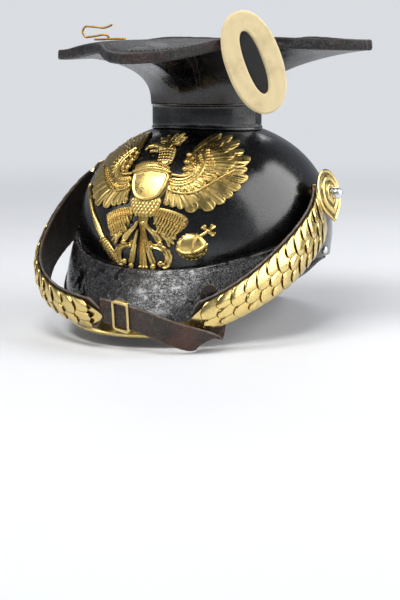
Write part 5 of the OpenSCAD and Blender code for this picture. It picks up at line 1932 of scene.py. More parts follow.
            self.petal([base, self.between(base, tip), tip], [1.2, 1.9, 1.6], 1.5, 1.6, self.feather, 8, 9)
            self.bead(tip[0], tip[1], (1.1, 1.1, 1.0), 1.9)

    def orb(self) -> None:
        """The orb with its bands, and the cross on it."""
        b = full_turn(48)
        (x, z), r, high = self.orb_at, self.orb_r, self.orb_h
        ring = spread(x + r * np.cos(b), z + r * np.sin(b))
        self.forms.append(dish(self.lay, ring, self.orb_at, lambda o: 0.4 + high * crest(o), 20))
        for line in ([(25.4, 24.4), (29.4, 22), (34.6, 22.2), (39.6, 24.4), (43.6, 28.2)],
                     [(38, 34.8), (36, 29.6), (34.8, 22.4)]):
            p = smooth_line(line, 22)
            out = np.linalg.norm(p - self.orb_at, axis=1) / r
            path = self.lay(p, 0.4 + high * crest(out, 2, 0.01))
            self.forms.append(tube(path, 1.3, 10, 0.8, HEAD.facing(path)))
            for q, w in zip(p[1:-1], out[1:-1]):
                self.bead(q[0], q[1], (0.8, 0.8, 0.7), 1.2 + high * math.sqrt(max(0.01, 1 - w * w)))
        for k in full_turn(20)[:15] + 1.9:
            c, s = math.cos(k), math.sin(k)
            self.bead(x + 9 * c, z + 9 * s, (1.5, 0.9, 1.0), 1.6, (-s, c))
        self.petal([(38.6, 32.6), (41.2, 34.6), (44, 37)], [1.5, 1.3, 1.3], 1.2, 1.5, self.round, 8, 7)
        for tip in ((40.6, 40.6), (47.6, 41), (48, 34.2)):
            self.petal([(44, 37), self.between((44, 37), tip), tip], [1, 1.4, 2.4], 1.3, 1.4,
                       self.channel, 10, 9, 0.4)
        self.bead(44, 37, (1.4, 1.4, 1.2), 2.0)

    def sceptre(self) -> None:
        """The sceptre with its knobs and its ribbed end."""
        line = [(-63, 62.5), (-56.5, 54), (-50, 45.8), (-44, 38.2), (-39, 31.8), (-33, 25), (-27, 18.5),
                (-20.5, 11.5)]
        self.petal(line, [1.6, 1.4, 1.4, 1.7, 2.9, 2.2, 3.6, 3.9, 1.8], 0.8, 1.7, self.round, 44, 9)
        way = (0.66, -0.75)
        for p in smooth_line([(-35.5, 27.8), (-22.5, 13.6)], 10):
            self.bead(p[0], p[1], (0.7, 3.9, 1.3), 1.9, way)
        for x, z, r in ((-63, 62.8, 2.1), (-41.5, 35, 2.3), (-36.5, 28.8, 2.1)):
            self.bead(x, z, (r, r, 1.5), 1.5)

    def build(self) -> None:
        """Makes the plate and dresses its studs."""
        for m in (1.0, -1.0):
            self.wing(m)
            self.leg(m)
            self.tail(m)
        self.body()
        self.orb()
        self.sceptre()
        self.piece("plate_eagle", Form.joined(self.forms), "eagle", "brass", "front_plate", 55)
        flat = np.array([(b[0], b[1]) for b in self.beads], float)
        way = unit(np.array([b[4] for b in self.beads], float))
        points = self.lay(flat, np.array([b[3] for b in self.beads]))
        ahead = self.lay(flat + way * 0.5, np.array([b[3] for b in self.beads])) - points
        stored = {"facing": HEAD.facing(points), "way": unit(ahead),
                  "size": np.array([b[2] for b in self.beads]) * MM}
        beads = RUNS.make("plate_beads", "beads", points, {"Growth": 1.0}, "eagle", lines=False,
                          stored=stored)
        self.keep(beads, "brass", ["front_plate"], False)
        self.dress("fitting_cad", "plate_studs", "plate_nuts")


# ---- Chinscales, strap and buckle ----


@dataclass
class ChainWay:
    """The way of one chain from its boss to the loop's front."""

    side: float
    length: float
    count: int
    sag: float
    boss_y: float = 4.0
    boss_z: float = 58.0
    loop_w: float = 92.607
    bulge: float = 7.4
    reach: float = 156.0
    drop: float = 75.0
    lean: float = math.radians(25.0)
    w0: float = 38.0
    w1: float = 22.0
    first: float = 10.0
    end_len: float = 15.0
    lining: float = 1.5
    clear: float = 0.3
    scale_t: float = 0.8
    crown_h: float = 3.4

    def __post_init__(self) -> None:
        """Measures the way."""
        degrees = np.arange(0, 91.0)
        self.gone = length_along(self.loop(degrees))
        self.degrees = degrees

    def loop(self, t: Array) -> Array:
        """Points of the whole loop at 0 to 90 degrees.

        Args:
            t: Degrees from the boss, 0, to the front, 90.

        Returns:
            The points.
        """
        t = np.radians(t)
        f = np.abs(np.sin(t))
        wide = self.loop_w + self.bulge - self.bulge * np.exp(-f / 0.12)
        sag = self.sag if self.side > 0 else self.sag * (1 - f**3)
        x = self.side * np.sign(np.cos(t)) * wide * np.sqrt(np.maximum(1 - f**3, 0))
        return spread(x, self.boss_y - self.reach * f,
                      self.boss_z - self.drop * f - (1 - np.exp(-f / 0.08)) * sag)

    def turn(self, d: Array) -> Array:
        """Degrees at a distance along the chain."""
        return np.interp(d, self.gone, self.degrees)

    def ways(self, d: Array) -> tuple[Array, Array, Array]:
        """Directions along, out and up at distances along the chain.

        Args:
            d: Distances from the boss.

        Returns:
            The three directions at each.
        """
        t = np.maximum(self.turn(d), 0.6)
        v = unit(self.loop(t + 0.5) - self.loop(t - 0.5))
        f = np.sin(np.radians(self.turn(d)))[..., None]
        level = self.side * unit(spread(-v[..., 1], v[..., 0], 0.0))
        k = smooth(0, 0.35, f)
        down = np.array([0, 0, 1]) * math.tan(self.lean) * smooth(0.45, 1, f)
        aim = np.array([self.side, 0, 0]) * (1 - k) + level * k - down
        out = unit(aim - v * (aim * v).sum(-1, keepdims=True))
        return v, out, self.side * np.cross(v, out)

    def point(self, d: Array, b: Array, c: Array) -> Array:
        """Points along, across and out from the lining's back.

        Args:
            d: Distances along, from the boss.
            b: Distances across.
            c: Distances out.

        Returns:
            The points.
        """
        d, b, c = np.broadcast_arrays(np.asarray(d, float), np.asarray(b, float), np.asarray(c, float))
        _, out, up = self.ways(d)
        return self.loop(self.turn(d)) + up * b[..., None] + out * c[..., None]

    def width(self, d: Array) -> Array:
        """Width of the chain at a distance."""
        return self.w0 + (self.w1 - self.w0) * np.clip(np.asarray(d, float) / self.length, 0, 1)

    def crown(self, d: Array, b: Array) -> Array:
        """Crown of the scales across the chain."""
        return (0.8 + (self.crown_h - 0.8) * smooth(12, 52, d)) * (1 - (2 * b / self.width(d)) ** 2)

    @property
    def pitch(self) -> float:
        """Distance from scale to scale."""
        return (self.length - self.first - self.end_len) / self.count


LEFT = ChainWay(1.0, 171.0, 13, 11.0)
RIGHT = ChainWay(-1.0, 220.0, 16, 3.0)


@dataclass
class Chinscales(SubAssembly):
    """Both chains: linings, scales, rosettes and end plates."""

    lobe_depth: float = 4.8
    hanging: int = 10
    rivet_at: float = 8.0
    slot_at: float = 9.2
    slot_l: float = 2.3
    slot_w: float = 0.85
    rosette_r: float = 18.0
    rosette_point: float = 22.0
    rosette_c: float = 5.8
    rosette_h: float = 3.2

    def build(self) -> None:
        """Makes both sides."""
        for way, name in ((LEFT, "left"), (RIGHT, "right")):
            self._lining(way, name)
            for i in range(1, way.count + 1):
                form = self._scale(way, i)
                self.piece(f"{name}_scale_brass_{i:02d}", form, "scale", "brass", f"{name}_scale_{i:02d}", 45)
            self._end_plate(way, name)
            self._rosette(way, name)

    def _scale(self, way: ChainWay, i: int) -> Form:
        """One scale: leaves side by side, each rounded, over the root of the next scale.

        Args:
            way: The side's run.
            i: The scale's number from the boss.

        Returns:
            The scale.
        """
        root = way.first + (i - 1) * way.pitch
        lobes = 3 if i % 2 == 0 else 2
        x = np.linspace(-1, 1, 37)[:, None]
        q = np.concatenate([np.linspace(0, 0.9, 12), [0.95, 0.985, 1.0]])[None, :]
        place = (np.clip(x, -0.999, 0.999) + 1) / 2 * lobes % 1 * 2 - 1
        low = smooth(0.0, 1.0, -way.side * x) * max(0.0, 1 - i / self.hanging)
        lobe = self.lobe_depth * np.sqrt(np.maximum(0, 1 - 0.96 * place**2))
        reach = way.pitch * 1.5 + lobe - 3.5 * x * x + 6.0 * low
        d = root + reach * q
        b = x * way.width(d) / 2 * (1 + 0.2 * low * q**2)
        tip = 0.5 * smooth(0.9, 1.0, q) * (0.4 + 0.6 * place**2)
        leaf = (0.7 * (1 - place**2) - 0.2) * smooth(0.4, 0.9, q) - tip
        slope = (way.scale_t + 0.4) / way.pitch
        c = way.lining + way.clear + slope * (d - root) + way.crown(d, b) + leaf
        b = way.side * b
        front = way.point(d, b, c + way.scale_t)
        back = way.point(d, b, c)
        # Low relief where the next scale covers this one and between its leaves, which the brass paints as
        # shade under and between the scales.
        covered = 0.8 * (1 - smooth(0.25, 0.6, q))
        seams = 0.8 * smooth(0.84, 1, np.abs(place)) * smooth(0.3, 0.75, q)
        relief = np.clip(0.75 + 0.25 * (1 - place**2) - covered - seams, 0, 1)
        return sheet(front, back, (x * way.width(root) / 2)[:, 0] + 50, q[0] * way.pitch * 1.7, relief, 0.45)

    def _lining(self, way: ChainWay, name: str) -> None:
        """The leather under a chain, which shows at its edges, with its disc at the boss.

        Args:
            way: The side's run.
            name: The side's name.
        """
        d = np.linspace(2, way.length, 120)[:, None]
        start, taper = smooth(0, 14, d), smooth(way.length - 9, way.length, d)
        half = (way.width(d) / 2 + 0.8) * (0.5 + 0.5 * start) * (1 - 0.6 * taper**2)
        x = np.linspace(-1, 1, 11)[None, :]
        ragged = 0.18 * np.sin(d * 0.9 + 2 * np.sin(d * 0.23))
        front = way.point(d, way.side * x * (half + ragged), way.lining)
        back = way.point(d, way.side * x * (half + ragged), 0.0)
        strip = sheet(front, back, d[:, 0], x[0] * 16, np.clip(0.2 + np.abs(x) ** 10, 0, 1) + 0 * d, 0.4)
        b = full_turn(48)
        rings = []
        for r, w in ((3.3, 0.0), (9.7, 0.0), (10.0, 0.4), (10.0, 1.1), (9.7, way.lining), (3.3, way.lining)):
            rings.append(spread(way.side * (way.loop_w + w), way.boss_y + r * np.cos(b),
                                way.boss_z + r * np.sin(b)))
        disc = loft(np.array(rings).transpose(1, 0, 2), True)
        self.piece(f"{name}_lining_strip", Form.joined([strip, disc]), "lining", "worn_leather",
                   f"{name}_lining")
        for k, s in enumerate((-1, 1)):
            at = np.linspace(16, way.length - 10, 140)
            line = way.point(at, s * (way.width(at) / 2 + 0.1), -0.05)
            self.stitch(f"{name}_lining_stitches_{k}", line, f"{name}_lining", "worn_leather", 3.4, 2.2, 0.5)

    def _end_plate(self, way: ChainWay, name: str) -> None:
        """The pointed last plate with its rivet or its slot.

        Args:
            way: The side's run.
            name: The side's name.
        """
        root = way.length - way.end_len
        b = full_turn(56)
        x = signed_power(np.cos(b), 0.7)
        q = 0.5 + 0.5 * signed_power(np.sin(b), 0.6)

        def spot(x: Array, q: Array) -> tuple[Array, Array]:
            """Distance along and across of a place on the plate."""
            d = root + (way.end_len + 3.0 - 9.0 * np.abs(x) ** 1.7) * q
            return d, way.side * x * way.width(d) / 2 * (1 - 0.3 * q)

        outline = np.stack(spot(x, q), -1)
        if way.side < 0:
            slot = b - 0.2
            hole = spread(root + self.slot_at + self.slot_l * np.cos(slot),
                          way.side * (self.slot_w * np.sin(slot)))
        else:
            hole = spread(root + self.rivet_at + 0.9 * np.cos(b), 0.9 * np.sin(b))
        rings, relief = [], []
        faces = [(t, way.scale_t) for t in (0.0, 0.08, 0.3, 0.55, 0.8, 0.94, 1.0)]
        faces += [(t, 0.0) for t in (1.0, 0.6, 0.3, 0.0)]
        for t, off in faces:
            p = hole * (1 - t) + outline * t
            dome = way.crown(p[:, 0], p[:, 1]) * (1 - 0.5 * (p[:, 0] - root) / way.end_len)
            edge = -0.25 * smooth(0.8, 1.0, t) + 0.2 * bell(t, 0.06, 0.05)
            rings.append(way.point(p[:, 0], p[:, 1], way.lining + way.clear + dome + edge + off))
            # The underside and the ring round the hole get lower relief, which the brass paints as shade.
            relief.append(np.full(len(b), 0.6 + 0.3 * smooth(0.0, 0.15, t) if off else 0.2))
        rings.append((rings[-1] + rings[0]) / 2)
        relief.append(relief[-1])
        forms = [loft(np.array(rings).transpose(1, 0, 2), True, relief=np.array(relief).T)]
        if way.side > 0:
            at = full_turn(24)
            top = way.lining + way.clear + 2.9
            rivet = [(0.5, way.lining + 0.4)]
            rivet += [(r, top + h) for r, h in ((1.9, 0.0), (1.8, 0.5), (1.3, 0.9), (0.6, 1.1), (0.1, 1.15))]
            forms.append(loft(np.array([
                way.point(root + self.rivet_at + r * np.cos(at), r * np.sin(at), h) for r, h in rivet
            ])))
        self.piece(f"{name}_end_plate_brass", Form.joined(forms), "scale", "brass", f"{name}_end_plate", 45)

    def _rosette(self, way: ChainWay, name: str) -> None:
        """The boss's rosette: round ridges drawn out to a point.

        Args:
            way: The side's run.
            name: The side's name.
        """
        lean, tilt, turn = math.radians(2), math.radians(14), math.radians(-14)
        b = full_turn(72)

        def drop(r: float, point: float, tip: float) -> Array:
            """Outline of a drop with its round end at the centre.

            Args:
                r: Radius of the round end.
                point: How far the point reaches.
                tip: Radius at the point.

            Returns:
                The outline's points.
            """
            touch = math.acos(min(1.0, (r - tip) / (point - tip)))
            ang = (b + math.pi) % TAU - math.pi
            arc = np.stack([r * np.cos(ang), r * np.sin(ang)], -1)
            a0 = np.array([r * math.cos(touch), r * math.sin(touch)])
            a1 = np.array([point - tip + tip * math.cos(touch), tip * math.sin(touch)])
            share = np.clip(np.abs(ang) / touch, 0, 1)[:, None]
            near = a1 + (a0 - a1) * share
            near[:, 1] *= np.sign(ang + 1e-9)
            tip_arc = np.stack([point - tip + tip * np.cos(ang * 2.2), tip * np.sin(ang * 2.2)], -1)
            flat = np.where((np.abs(ang) < touch)[:, None], near, arc)
            return np.where((np.abs(ang) * 2.2 < touch)[:, None], tip_arc, flat)

        outline = drop(self.rosette_r, self.rosette_point, 3.0)
        out = np.concatenate([np.linspace(0.19, 0.97, 44), [1.0]])
        ridges = 0.75 * np.cos((out - 0.3) * TAU / 0.34) * smooth(0.2, 0.35, out)
        lifts = 0.9 + (self.rosette_h - 0.6) * (1 - out**1.6) + ridges - 0.45 * smooth(0.93, 1, out)
        top = [lifted(outline * o, h) for o, h in zip(out, lifts)]
        under = [lifted(outline * o, h) for o, h in ((0.99, 0.25), (0.6, 0.0), (0.19, 0.0))]
        local = np.array(top + under)
        turned = Matrix.Rotation(-turn, 3, "Z") @ Matrix.Rotation(-tilt, 3, "Y")
        turned = turned @ Matrix.Rotation(turn + lean, 3, "Z")
        boss = Matrix.Rotation(math.pi / 2, 3, "Y")
        p = local @ np.array(boss @ turned).T
        base = np.array([way.loop_w + self.rosette_c + 0.8, way.boss_y, way.boss_z])
        p = (p + base) * [way.side, 1, 1]
        # Troughs between the ridges and the underside get low relief, which the brass paints as shade.
        level = np.concatenate([np.clip(0.5 + 0.7 * ridges, 0.02, 1), [0.1, 0.1, 0.1]])
        rings = p.transpose(1, 0, 2)
        relief = np.broadcast_to(level[None, :], rings.shape[:2])
        form = loft(rings, True, relief=relief)
        self.piece(f"{name}_rosette_brass", form, "scale", "brass", f"{name}_rosette", 60)


@dataclass
class ChinStrap(SubAssembly):
    """The leather strap between the chains, with its fold, and the sliding buckle."""

    width: float = 19.0
    thick: float = 2.0
    off: float = 0.4
    chain_gap: float = 2.2
    buckle_l: float = 14.0
    bar: float = 2.0
    metal: float = 1.2
    gap: float = 0.5

    def __post_init__(self) -> None:
        """Settles where the strap runs."""
        w = self.width
        v, _, up = RIGHT.ways(np.array(RIGHT.length))
        root = RIGHT.point(RIGHT.length, 0.0, self.thick / 2 + self.off)
        self.start = root + v * self.chain_gap + np.array([0, -0.074, 0.18]) * w
        self.run = unit(np.array([1, -0.05, -0.165]))
        self.up = unit(np.array([0.2, -0.36, 1.0]))
        self.buckle_at = self.start + self.run * 0.895 * w

        def near(d: float, b: float, c: float) -> Array:
            """A place near the left chain's end, in widths of the strap."""
            return LEFT.point(LEFT.length + d * w, b * w, c * w)

        self.stops = np.array([
            self.start, self.start + self.run * 0.21 * w, self.buckle_at, self.start + self.run * 1.58 * w,
            self.start + self.run * 1.98 * w + np.array([0, 0.063, -0.053]) * w, near(0.6, -0.16, 0.6),
            near(-0.08, -0.7, 0.5), near(-0.47, -0.89, 0.08),
            near(-0.8, -0.42, -0.22), near(-0.88, 0.42, -0.225), near(-0.94, 1.0, -0.225),
        ])
        self.ups = unit(np.array([
            up, self.up, self.up, self.up, self.up, unit([0.3, -0.3, 1]), unit([0.75, 0.2, 0.65]),
            unit([1, 0.6, 0.1]), unit([1, 0.85, 0]), unit([1, 1, -0.1]), unit([1, 1, -0.1]),
        ]))

    def at(self, x: Array) -> tuple[Array, Array]:
        """Points and up directions of the strap at its numbered stops.

        Args:
            x: Numbers of stops, with fractions between them.

        Returns:
            The points, and up at each.
        """
        last = len(self.stops) - 1
        i = np.minimum(np.floor(x).astype(int), last - 1)
        t = (x - i)[:, None]
        p = spline(*(self.stops[np.clip(i + k, 0, last)] for k in (-1, 0, 1, 2)), t)
        return p, unit(self.ups[i] * (1 - t) + self.ups[np.clip(i + 1, 0, last)] * t)

    def build(self) -> None:
        """Makes the strap, its stitches and the buckle."""
        last = len(self.stops) - 1
        x = np.linspace(0, last, 241)
        p, up = self.at(x)
        ahead, _ = self.at(np.minimum(x + 0.02, last))
        behind, _ = self.at(np.maximum(x - 0.02, 0))
        v = unit(ahead - behind)
        n = unit(np.cross(v, up))
        gone = length_along(p)
        tip = np.clip((gone - gone[-1] + 9) / 9, 0, 1)
        tail = 1 - 0.35 * smooth(gone[-1] - 26, gone[-1] - 8, gone)
        half = self.width / 2 * np.sqrt(np.clip(1 - (tip * 0.97) ** 2.4, 0.04, 1)) * tail
        w = np.cross(n, v) * half[:, None]
        c = np.linspace(-1, 1, 15)
        slack = 0.25 * np.sin(gone * 0.55)[:, None] * (1 - c**2)[None, :] * smooth(45, 60, gone)[:, None]
        rim = -0.3 * np.abs(c) ** 10
        mid = p[:, None] + w[:, None] * c[None, :, None] + n[:, None] * slack[..., None]
        half_t = (self.thick / 2 + rim)[None, :, None] * n[:, None]
        relief = np.clip(0.3 + 0.7 * np.abs(c) ** 8, 0, 1)[None, :] + 0 * gone[:, None]
        form = sheet(mid + half_t, mid - half_t, gone, c * self.width / 2, relief, 0.15)
        self.piece("strap_leather", form, "strap", "worn_leather", "chin_strap", 60)
        run = (gone > 5) & (gone < gone[-1] - 12)
        for k, s in enumerate((-0.86, 0.86)):
            line = (p + w * s + n * (self.thick / 2 - 0.12))[run]
            self.stitch(f"strap_stitches_{k}", line, "chin_strap", "worn_leather", 2.6, 1.7, 0.42)
        self._buckle()

    def _buckle(self) -> None:
        """The slim frame with rounded corners, its sides round the strap and the hidden bar."""
        n = unit(np.cross(self.run, self.up))
        u = np.cross(n, self.run)
        inner = self.width / 2 + self.gap
        front = self.thick / 2 + self.gap
        half_l, half_h = self.buckle_l / 2 - self.bar / 2, inner + self.bar / 2
        corner = 2.2
        t = np.linspace(0, 1, 96, endpoint=False) * 4
        path = []
        for k in t:
            side, f = int(k), k % 1
            ang = (side + smooth(0.5, 1.0, f)) * math.pi / 2
            reach = np.array([[1, 1], [-1, 1], [-1, -1], [1, -1]][side], float)
            here = np.array([[1, -1], [1, 1], [-1, 1], [-1, -1]][side], float)
            line = here + (reach - here) * min(f / 0.5, 1.0)
            centre = (line if f < 0.5 else reach) * [half_l - corner, half_h - corner]
            path.append(centre + corner * np.array([math.cos(ang), math.sin(ang)]))
        path = np.array(path)
        section = full_turn(12)
        ways = unit(np.roll(path, -1, 0) - np.roll(path, 1, 0))
        outs = np.stack([ways[:, 1], -ways[:, 0]], -1)
        sc, ss = np.cos(section), np.sin(section)
        sc, ss = signed_power(sc, 0.7), signed_power(ss, 0.7)
        ring = path[:, None] + outs[:, None] * (self.bar / 2 * sc)[None, :, None]
        high = front + self.metal / 2 + self.metal / 2 * ss[None, :] + 0 * ring[..., 0]
        place = self.buckle_at + ring[..., :1] * self.run + ring[..., 1:] * u + high[..., None] * n
        # The side toward the strap gets lower relief, which the brass paints as shade.
        forms = [loft(place, True, relief=np.clip(0.55 + 0.45 * ss, 0, 1)[None, :] + 0 * high)]
        for y in (-1, 1):
            depth = front + self.metal / 2
            ends = [self.buckle_at + self.run * x * (half_l - depth) + u * y * (inner + self.bar * 0.5)
                    for x in (-1, 1)]
            forms.append(tube(smooth_line(ends, 10), depth, 16, self.bar * 0.45 / depth, u))
        ends = [self.buckle_at + u * y - n * (front + self.metal / 2) for y in (-inner - 1, inner + 1)]
        forms.append(tube(smooth_line(ends, 12), self.metal / 2, 12))
        self.piece("buckle_brass", Form.joined(forms), "fitting", "brass", "buckle_frame", 60)


# ---- Badge, hook and the rest ----


def oval(w: float, h: float, n: float, count: int) -> Array:
    """An oval outline of a fullness, in the plane.

    Args:
        w: Its width.
        h: Its height.
        n: Its fullness: 2 is an ellipse.
        count: How many points it gets.

    Returns:
        The outline's points.
    """
    b = full_turn(count)
    c, s = np.cos(b), np.sin(b)
    return np.stack([w / 2 * signed_power(c, 2 / n), h / 2 * signed_power(s, 2 / n)], -1)


@dataclass
class FieldBadge(SubAssembly):
    """The cloth-covered oval badge on its tang."""

    width: float = 42.0
    height: float = 76.0
    in_w: float = 13.0
    in_h: float = 47.0
    thick: float = 3.0
    centre_z: float = 155.0
    shift: float = 4.0
    lean: float = math.radians(22.0)

    def place(self, local: Array) -> Array:
        """Points of the badge's own frame in the helmet's.

        Args:
            local: Points across, up and off the badge's back.

        Returns:
            The same points on the helmet.
        """
        out = float(BOARD.out(np.array(math.pi / 4))) + 4 + self.thick / 2
        c, s = math.cos(self.lean), math.sin(self.lean)
        x = self.shift + local[..., 0] * c - local[..., 1] * s
        y = local[..., 0] * s + local[..., 1] * c
        h = math.sqrt(0.5)
        centre = np.array([out * h, -out * h, self.centre_z])
        across, up, off = np.array([h, h, 0]), np.array([0, 0, 1]), np.array([h, -h, 0])
        return centre + x[..., None] * across + y[..., None] * up + local[..., 2:] * off

    def build(self) -> None:
        """Makes the ring and the centre, and dresses the tang and socket."""
        outer, inner = oval(self.width, self.height, 2.2, 128), oval(self.in_w, self.in_h, 2.2, 128)
        b = full_turn(128)
        t = np.concatenate([[0, 0.02, 0.06], np.linspace(0.12, 0.88, 15), [0.94, 0.98, 1.0]])
        half = self.thick / 2
        face = half - half * (bell(t, 0, 0.035) + bell(t, 1, 0.035)) * 0.85
        rings = []
        for k, f in zip(t, face):
            ripple = 0.1 * np.sin(5 * b + 9 * k) * bell(k, 0.5, 0.4)
            rings.append(lifted(inner * (1 - k) + outer * k, f + ripple))
        for k, f in ((1.0, -half * 0.3), (0.97, -half), (0.5, -half), (0.03, -half), (0.0, -half * 0.3)):
            rings.append(lifted(inner * (1 - k) + outer * k, f))
        local = np.array(rings).transpose(1, 0, 2)
        form = loft(self.place(local), True)
        form.uvs = self._flat_places(form)
        self.piece("badge_cloth", form, "cream", "cream_cloth", "badge_ring", 70)
        core = oval(self.in_w - 0.4, self.in_h - 0.4, 2.2, 64)
        levels = [(0.04, 0.62), (0.3, 0.62), (0.6, 0.6), (0.85, 0.52), (0.96, 0.3), (1.0, 0.05), (1.0, -half),
                  (0.04, -half)]
        local = np.array([lifted(core * k, z) for k, z in levels])
        form = loft(self.place(local))
        form.uvs = self._flat_places(form)
        self.piece("badge_core_cloth", form, "black", "black_cloth", "badge_centre", 60)
        self.dress("fitting_cad", "badge_tang", "badge_socket")

    def _flat_places(self, form: Form) -> Array:
        """Surface places straight across the badge, so that its threads run straight.

        Args:
            form: The form that gets them.

        Returns:
            Two coordinates for each corner.
        """
        origin = self.place(np.zeros((1, 3)))[0]
        across = self.place(np.array([[1.0, 0, 0]]))[0] - origin
        up = self.place(np.array([[0, 1.0, 0]]))[0] - origin
        p = form.points[form.quads] - origin
        return np.stack([p @ across, p @ up], -1)


@dataclass
class CapLineHook(SubAssembly):
    """The bent wire hook on the board by the wearer's right corner."""

    wire: float = 1.6
    gap: float = 6.8
    length: float = 28.0
    inset: float = 22.5

    def build(self) -> None:
        """Bends the wire."""
        l, rise = self.length, self.gap + self.wire
        base = -rise - 1.8
        a = np.radians(np.arange(90, 271, 22.5))
        b = np.radians(np.arange(90, 271, 30))
        e = np.radians(np.arange(-90, 91, 30))
        way = [[l, 0, 1.2], [l * 0.86, 0, -0.4], [l * 0.7, 0, -1.2], [l * 0.5, 0, -0.6]]
        way += [[rise / 2 * (math.cos(t) + 1) + 1, 0, rise / 2 * (math.sin(t) - 1)] for t in a]
        way += [[l * 0.5, 0, -rise + 1], [l * 0.68, 0.2, -rise + 1.9], [l * 0.8, 0.8, -rise + 1.5],
                [l * 0.85, 1.6, -rise], [l * 0.8, 2.3, base + 0.5], [l * 0.66, 2.6, base]]
        way += [[l * 0.56 + 2.6 * math.cos(t), 2.6 * math.sin(t), base] for t in b]
        way += [[l * 1.3 + 2.6 * math.cos(t), 2.6 * math.sin(t), base + 0.6] for t in e]
        way += [[l * 0.95, 2.6, base + 0.4]]
        z = BOARD.point(np.array(1.5 * math.pi), 0.68, 0.0)[2] + self.wire / 2 + BOARD.clear - base
        line = smooth_line(way, 260) + np.array([-BOARD.radius + self.inset, 0, z])
        obj = RUNS.make("hook_wire_bent", "wire", line, {"Radius": self.wire / 2 * MM}, "wire")
        self.keep(obj, "brass", ["cap_line_hook"])


@dataclass
class Fittings(SubAssembly):
    """The bosses and small studs, which keep their CAD shapes."""

    def build(self) -> None:
        """Dresses the nodes."""
        self.dress("fitting_cad", "boss_posts")
        self.dress("silver", "dome_nuts", "side_studs", "boss_nuts")
        self.dress("tan", "boss_washers")


# ---- Studio ----


@dataclass(frozen=True)
class Lamp:
    """A soft box: where it stands, how large it is and how bright."""

    name: str
    turn: float
    climb: float
    distance: float
    size: tuple[float, float]
    power: float


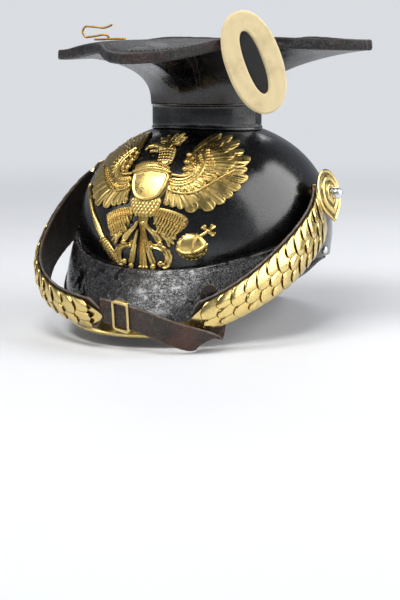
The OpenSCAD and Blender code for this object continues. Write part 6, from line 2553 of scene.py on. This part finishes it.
@dataclass
class Studio:
    """The camera, the pale floor and the soft light."""

    lamps: tuple[Lamp, ...] = (
        Lamp("overhead_bank", -8, 60, 1.5, (1.1, 0.75), 22.0),
        Lamp("right_box", 112, 26, 1.4, (1.6, 1.3), 23.0),
        Lamp("left_fill", -48, 18, 1.7, (0.8, 0.8), 4.0),
        Lamp("back_box", 205, 40, 1.6, (1.0, 0.7), 5.0),
    )
    aim: tuple[float, float, float] = (0.0, 0.0, 0.07)
    backdrop: Colour = (0.70, 0.72, 0.75, 1.0)
    floor_tones: tuple[Colour, Colour] = ((0.72, 0.73, 0.75, 1), (0.75, 0.76, 0.78, 1))
    floor_reach: float = 30.0
    floor_gap: float = 0.001
    low_sky: Colour = (0.34, 0.36, 0.40, 1)
    high_sky: Colour = (0.12, 0.13, 0.15, 1)
    sky_strength: float = 0.8
    view_turn: float = 27.0
    view_climb: float = 9.5
    view_distance: float = 1.209
    view_left: float = 0.00546
    view_low: float = 0.02964
    sensor: float = 36.0
    lens: float = 93.0

    def direction(self, turn: float, climb: float) -> Vector:
        """Direction towards a place round the helmet."""
        a, e = math.radians(turn), math.radians(climb)
        return Vector((math.sin(a) * math.cos(e), -math.cos(a) * math.cos(e), math.sin(e)))

    def camera(self) -> None:
        """The photograph's viewpoint."""
        back = self.direction(self.view_turn, self.view_climb)
        turn = math.radians(self.view_turn)
        right = Vector((math.cos(turn), math.sin(turn), 0))
        up = back.cross(right)
        data = bpy.data.cameras.new("view")
        data.sensor_width, data.lens = self.sensor, self.lens
        data.clip_start, data.clip_end = 0.05, 50
        cam = put_in_scene("view", data)
        cam.location = back * self.view_distance - right * self.view_left - up * self.view_low
        cam.rotation_mode = "QUATERNION"
        cam.rotation_quaternion = Matrix((right, up, back)).transposed().to_quaternion()
        bpy.context.scene.camera = cam

    def floor(self, z: float) -> None:
        """A pale floor that reaches far out.

        Args:
            z: Its height.
        """
        material = bpy.data.materials.new("pale_floor")
        material.use_nodes = True
        g = Graph(material.node_tree)
        shader = first_node(material.node_tree, "BSDF_PRINCIPLED")
        place = g.add("ShaderNodeTexCoord", out="Object")
        g.feed(shader.inputs["Base Color"],
               g.mix(g.fit(g.noise(place, 3.0, 3.0), 0.3, 0.7), *self.floor_tones))
        shader.inputs["Roughness"].default_value = 0.6
        far = g.add("ShaderNodeVectorMath", {0: place}, out="Value", operation="LENGTH")
        pale = g.add("ShaderNodeEmission", {"Color": self.backdrop, "Strength": 1.0})
        rays = g.tree.nodes.new("ShaderNodeLightPath").outputs
        share = g.times(rays["Is Camera Ray"], g.fit(far, 0.45, 1.6))
        shown = g.add("ShaderNodeMixShader", {0: share, 1: shader.outputs[0], 2: pale})
        output = first_node(g.tree, "OUTPUT_MATERIAL")
        g.feed(output.inputs["Surface"], shown)
        mesh = bpy.data.meshes.new("floor")
        r = self.floor_reach
        mesh.from_pydata([(-r, -r, z), (r, -r, z), (r, r, z), (-r, r, z)], [], [(0, 1, 2, 3)])
        mesh.materials.append(material)
        put_in_scene("floor", mesh)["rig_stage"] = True

    def light(self) -> None:
        """The soft boxes and the even surroundings."""
        for lamp in self.lamps:
            data = bpy.data.lights.new(lamp.name, "AREA")
            data.shape, data.size, data.size_y, data.energy = "RECTANGLE", *lamp.size, lamp.power
            obj = put_in_scene(lamp.name, data)
            way = self.direction(lamp.turn, lamp.climb)
            obj.location = Vector(self.aim) + way * lamp.distance
            obj.rotation_mode = "QUATERNION"
            obj.rotation_quaternion = way.to_track_quat("Z", "Y")
        world = bpy.data.worlds.new("surroundings")
        world.use_nodes = True
        g = Graph(world.node_tree)
        sky = first_node(world.node_tree, "BACKGROUND")
        parts = world.node_tree.nodes.new("ShaderNodeSeparateXYZ")
        g.feed(parts.inputs[0], g.add("ShaderNodeTexCoord", out="Generated"))
        tone = g.mix(g.fit(parts.outputs[2], -0.05, 0.7), self.low_sky, self.high_sky)
        g.feed(sky.inputs["Color"], tone)
        sky.inputs["Strength"].default_value = self.sky_strength
        plain = g.add("ShaderNodeBackground", {"Color": self.backdrop, "Strength": 1.0})
        camera_ray = g.tree.nodes.new("ShaderNodeLightPath").outputs["Is Camera Ray"]
        output = first_node(g.tree, "OUTPUT_WORLD")
        g.feed(output.inputs["Surface"],
               g.add("ShaderNodeMixShader", {0: camera_ray, 1: sky.outputs[0], 2: plain}))
        bpy.context.scene.world = world

    def build(self, lowest: float) -> None:
        """Sets up the scene round the helmet, with the floor under its lowest point.

        Args:
            lowest: The helmet's lowest point.
        """
        self.camera()
        self.floor(lowest - self.floor_gap)
        self.light()
        bpy.context.scene.view_settings.view_transform = "Standard"


def main() -> None:
    """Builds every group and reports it."""
    logging.basicConfig(level=logging.INFO, format="%(message)s", stream=sys.stdout)
    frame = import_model()
    groups: list[SubAssembly] = [
        SkullShell(frame), NeckAndBoard(frame), Visors(frame), Liner(frame), EaglePlate(frame),
        Chinscales(frame), ChinStrap(frame), FieldBadge(frame), CapLineHook(frame), Fittings(frame),
    ]
    for group in groups:
        group.build()
        LOG.info("%s: %d pieces", type(group).__name__, len(group.pieces))
    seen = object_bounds()
    Studio().build(seen[0].z)


if __name__ == "__main__":
    main()
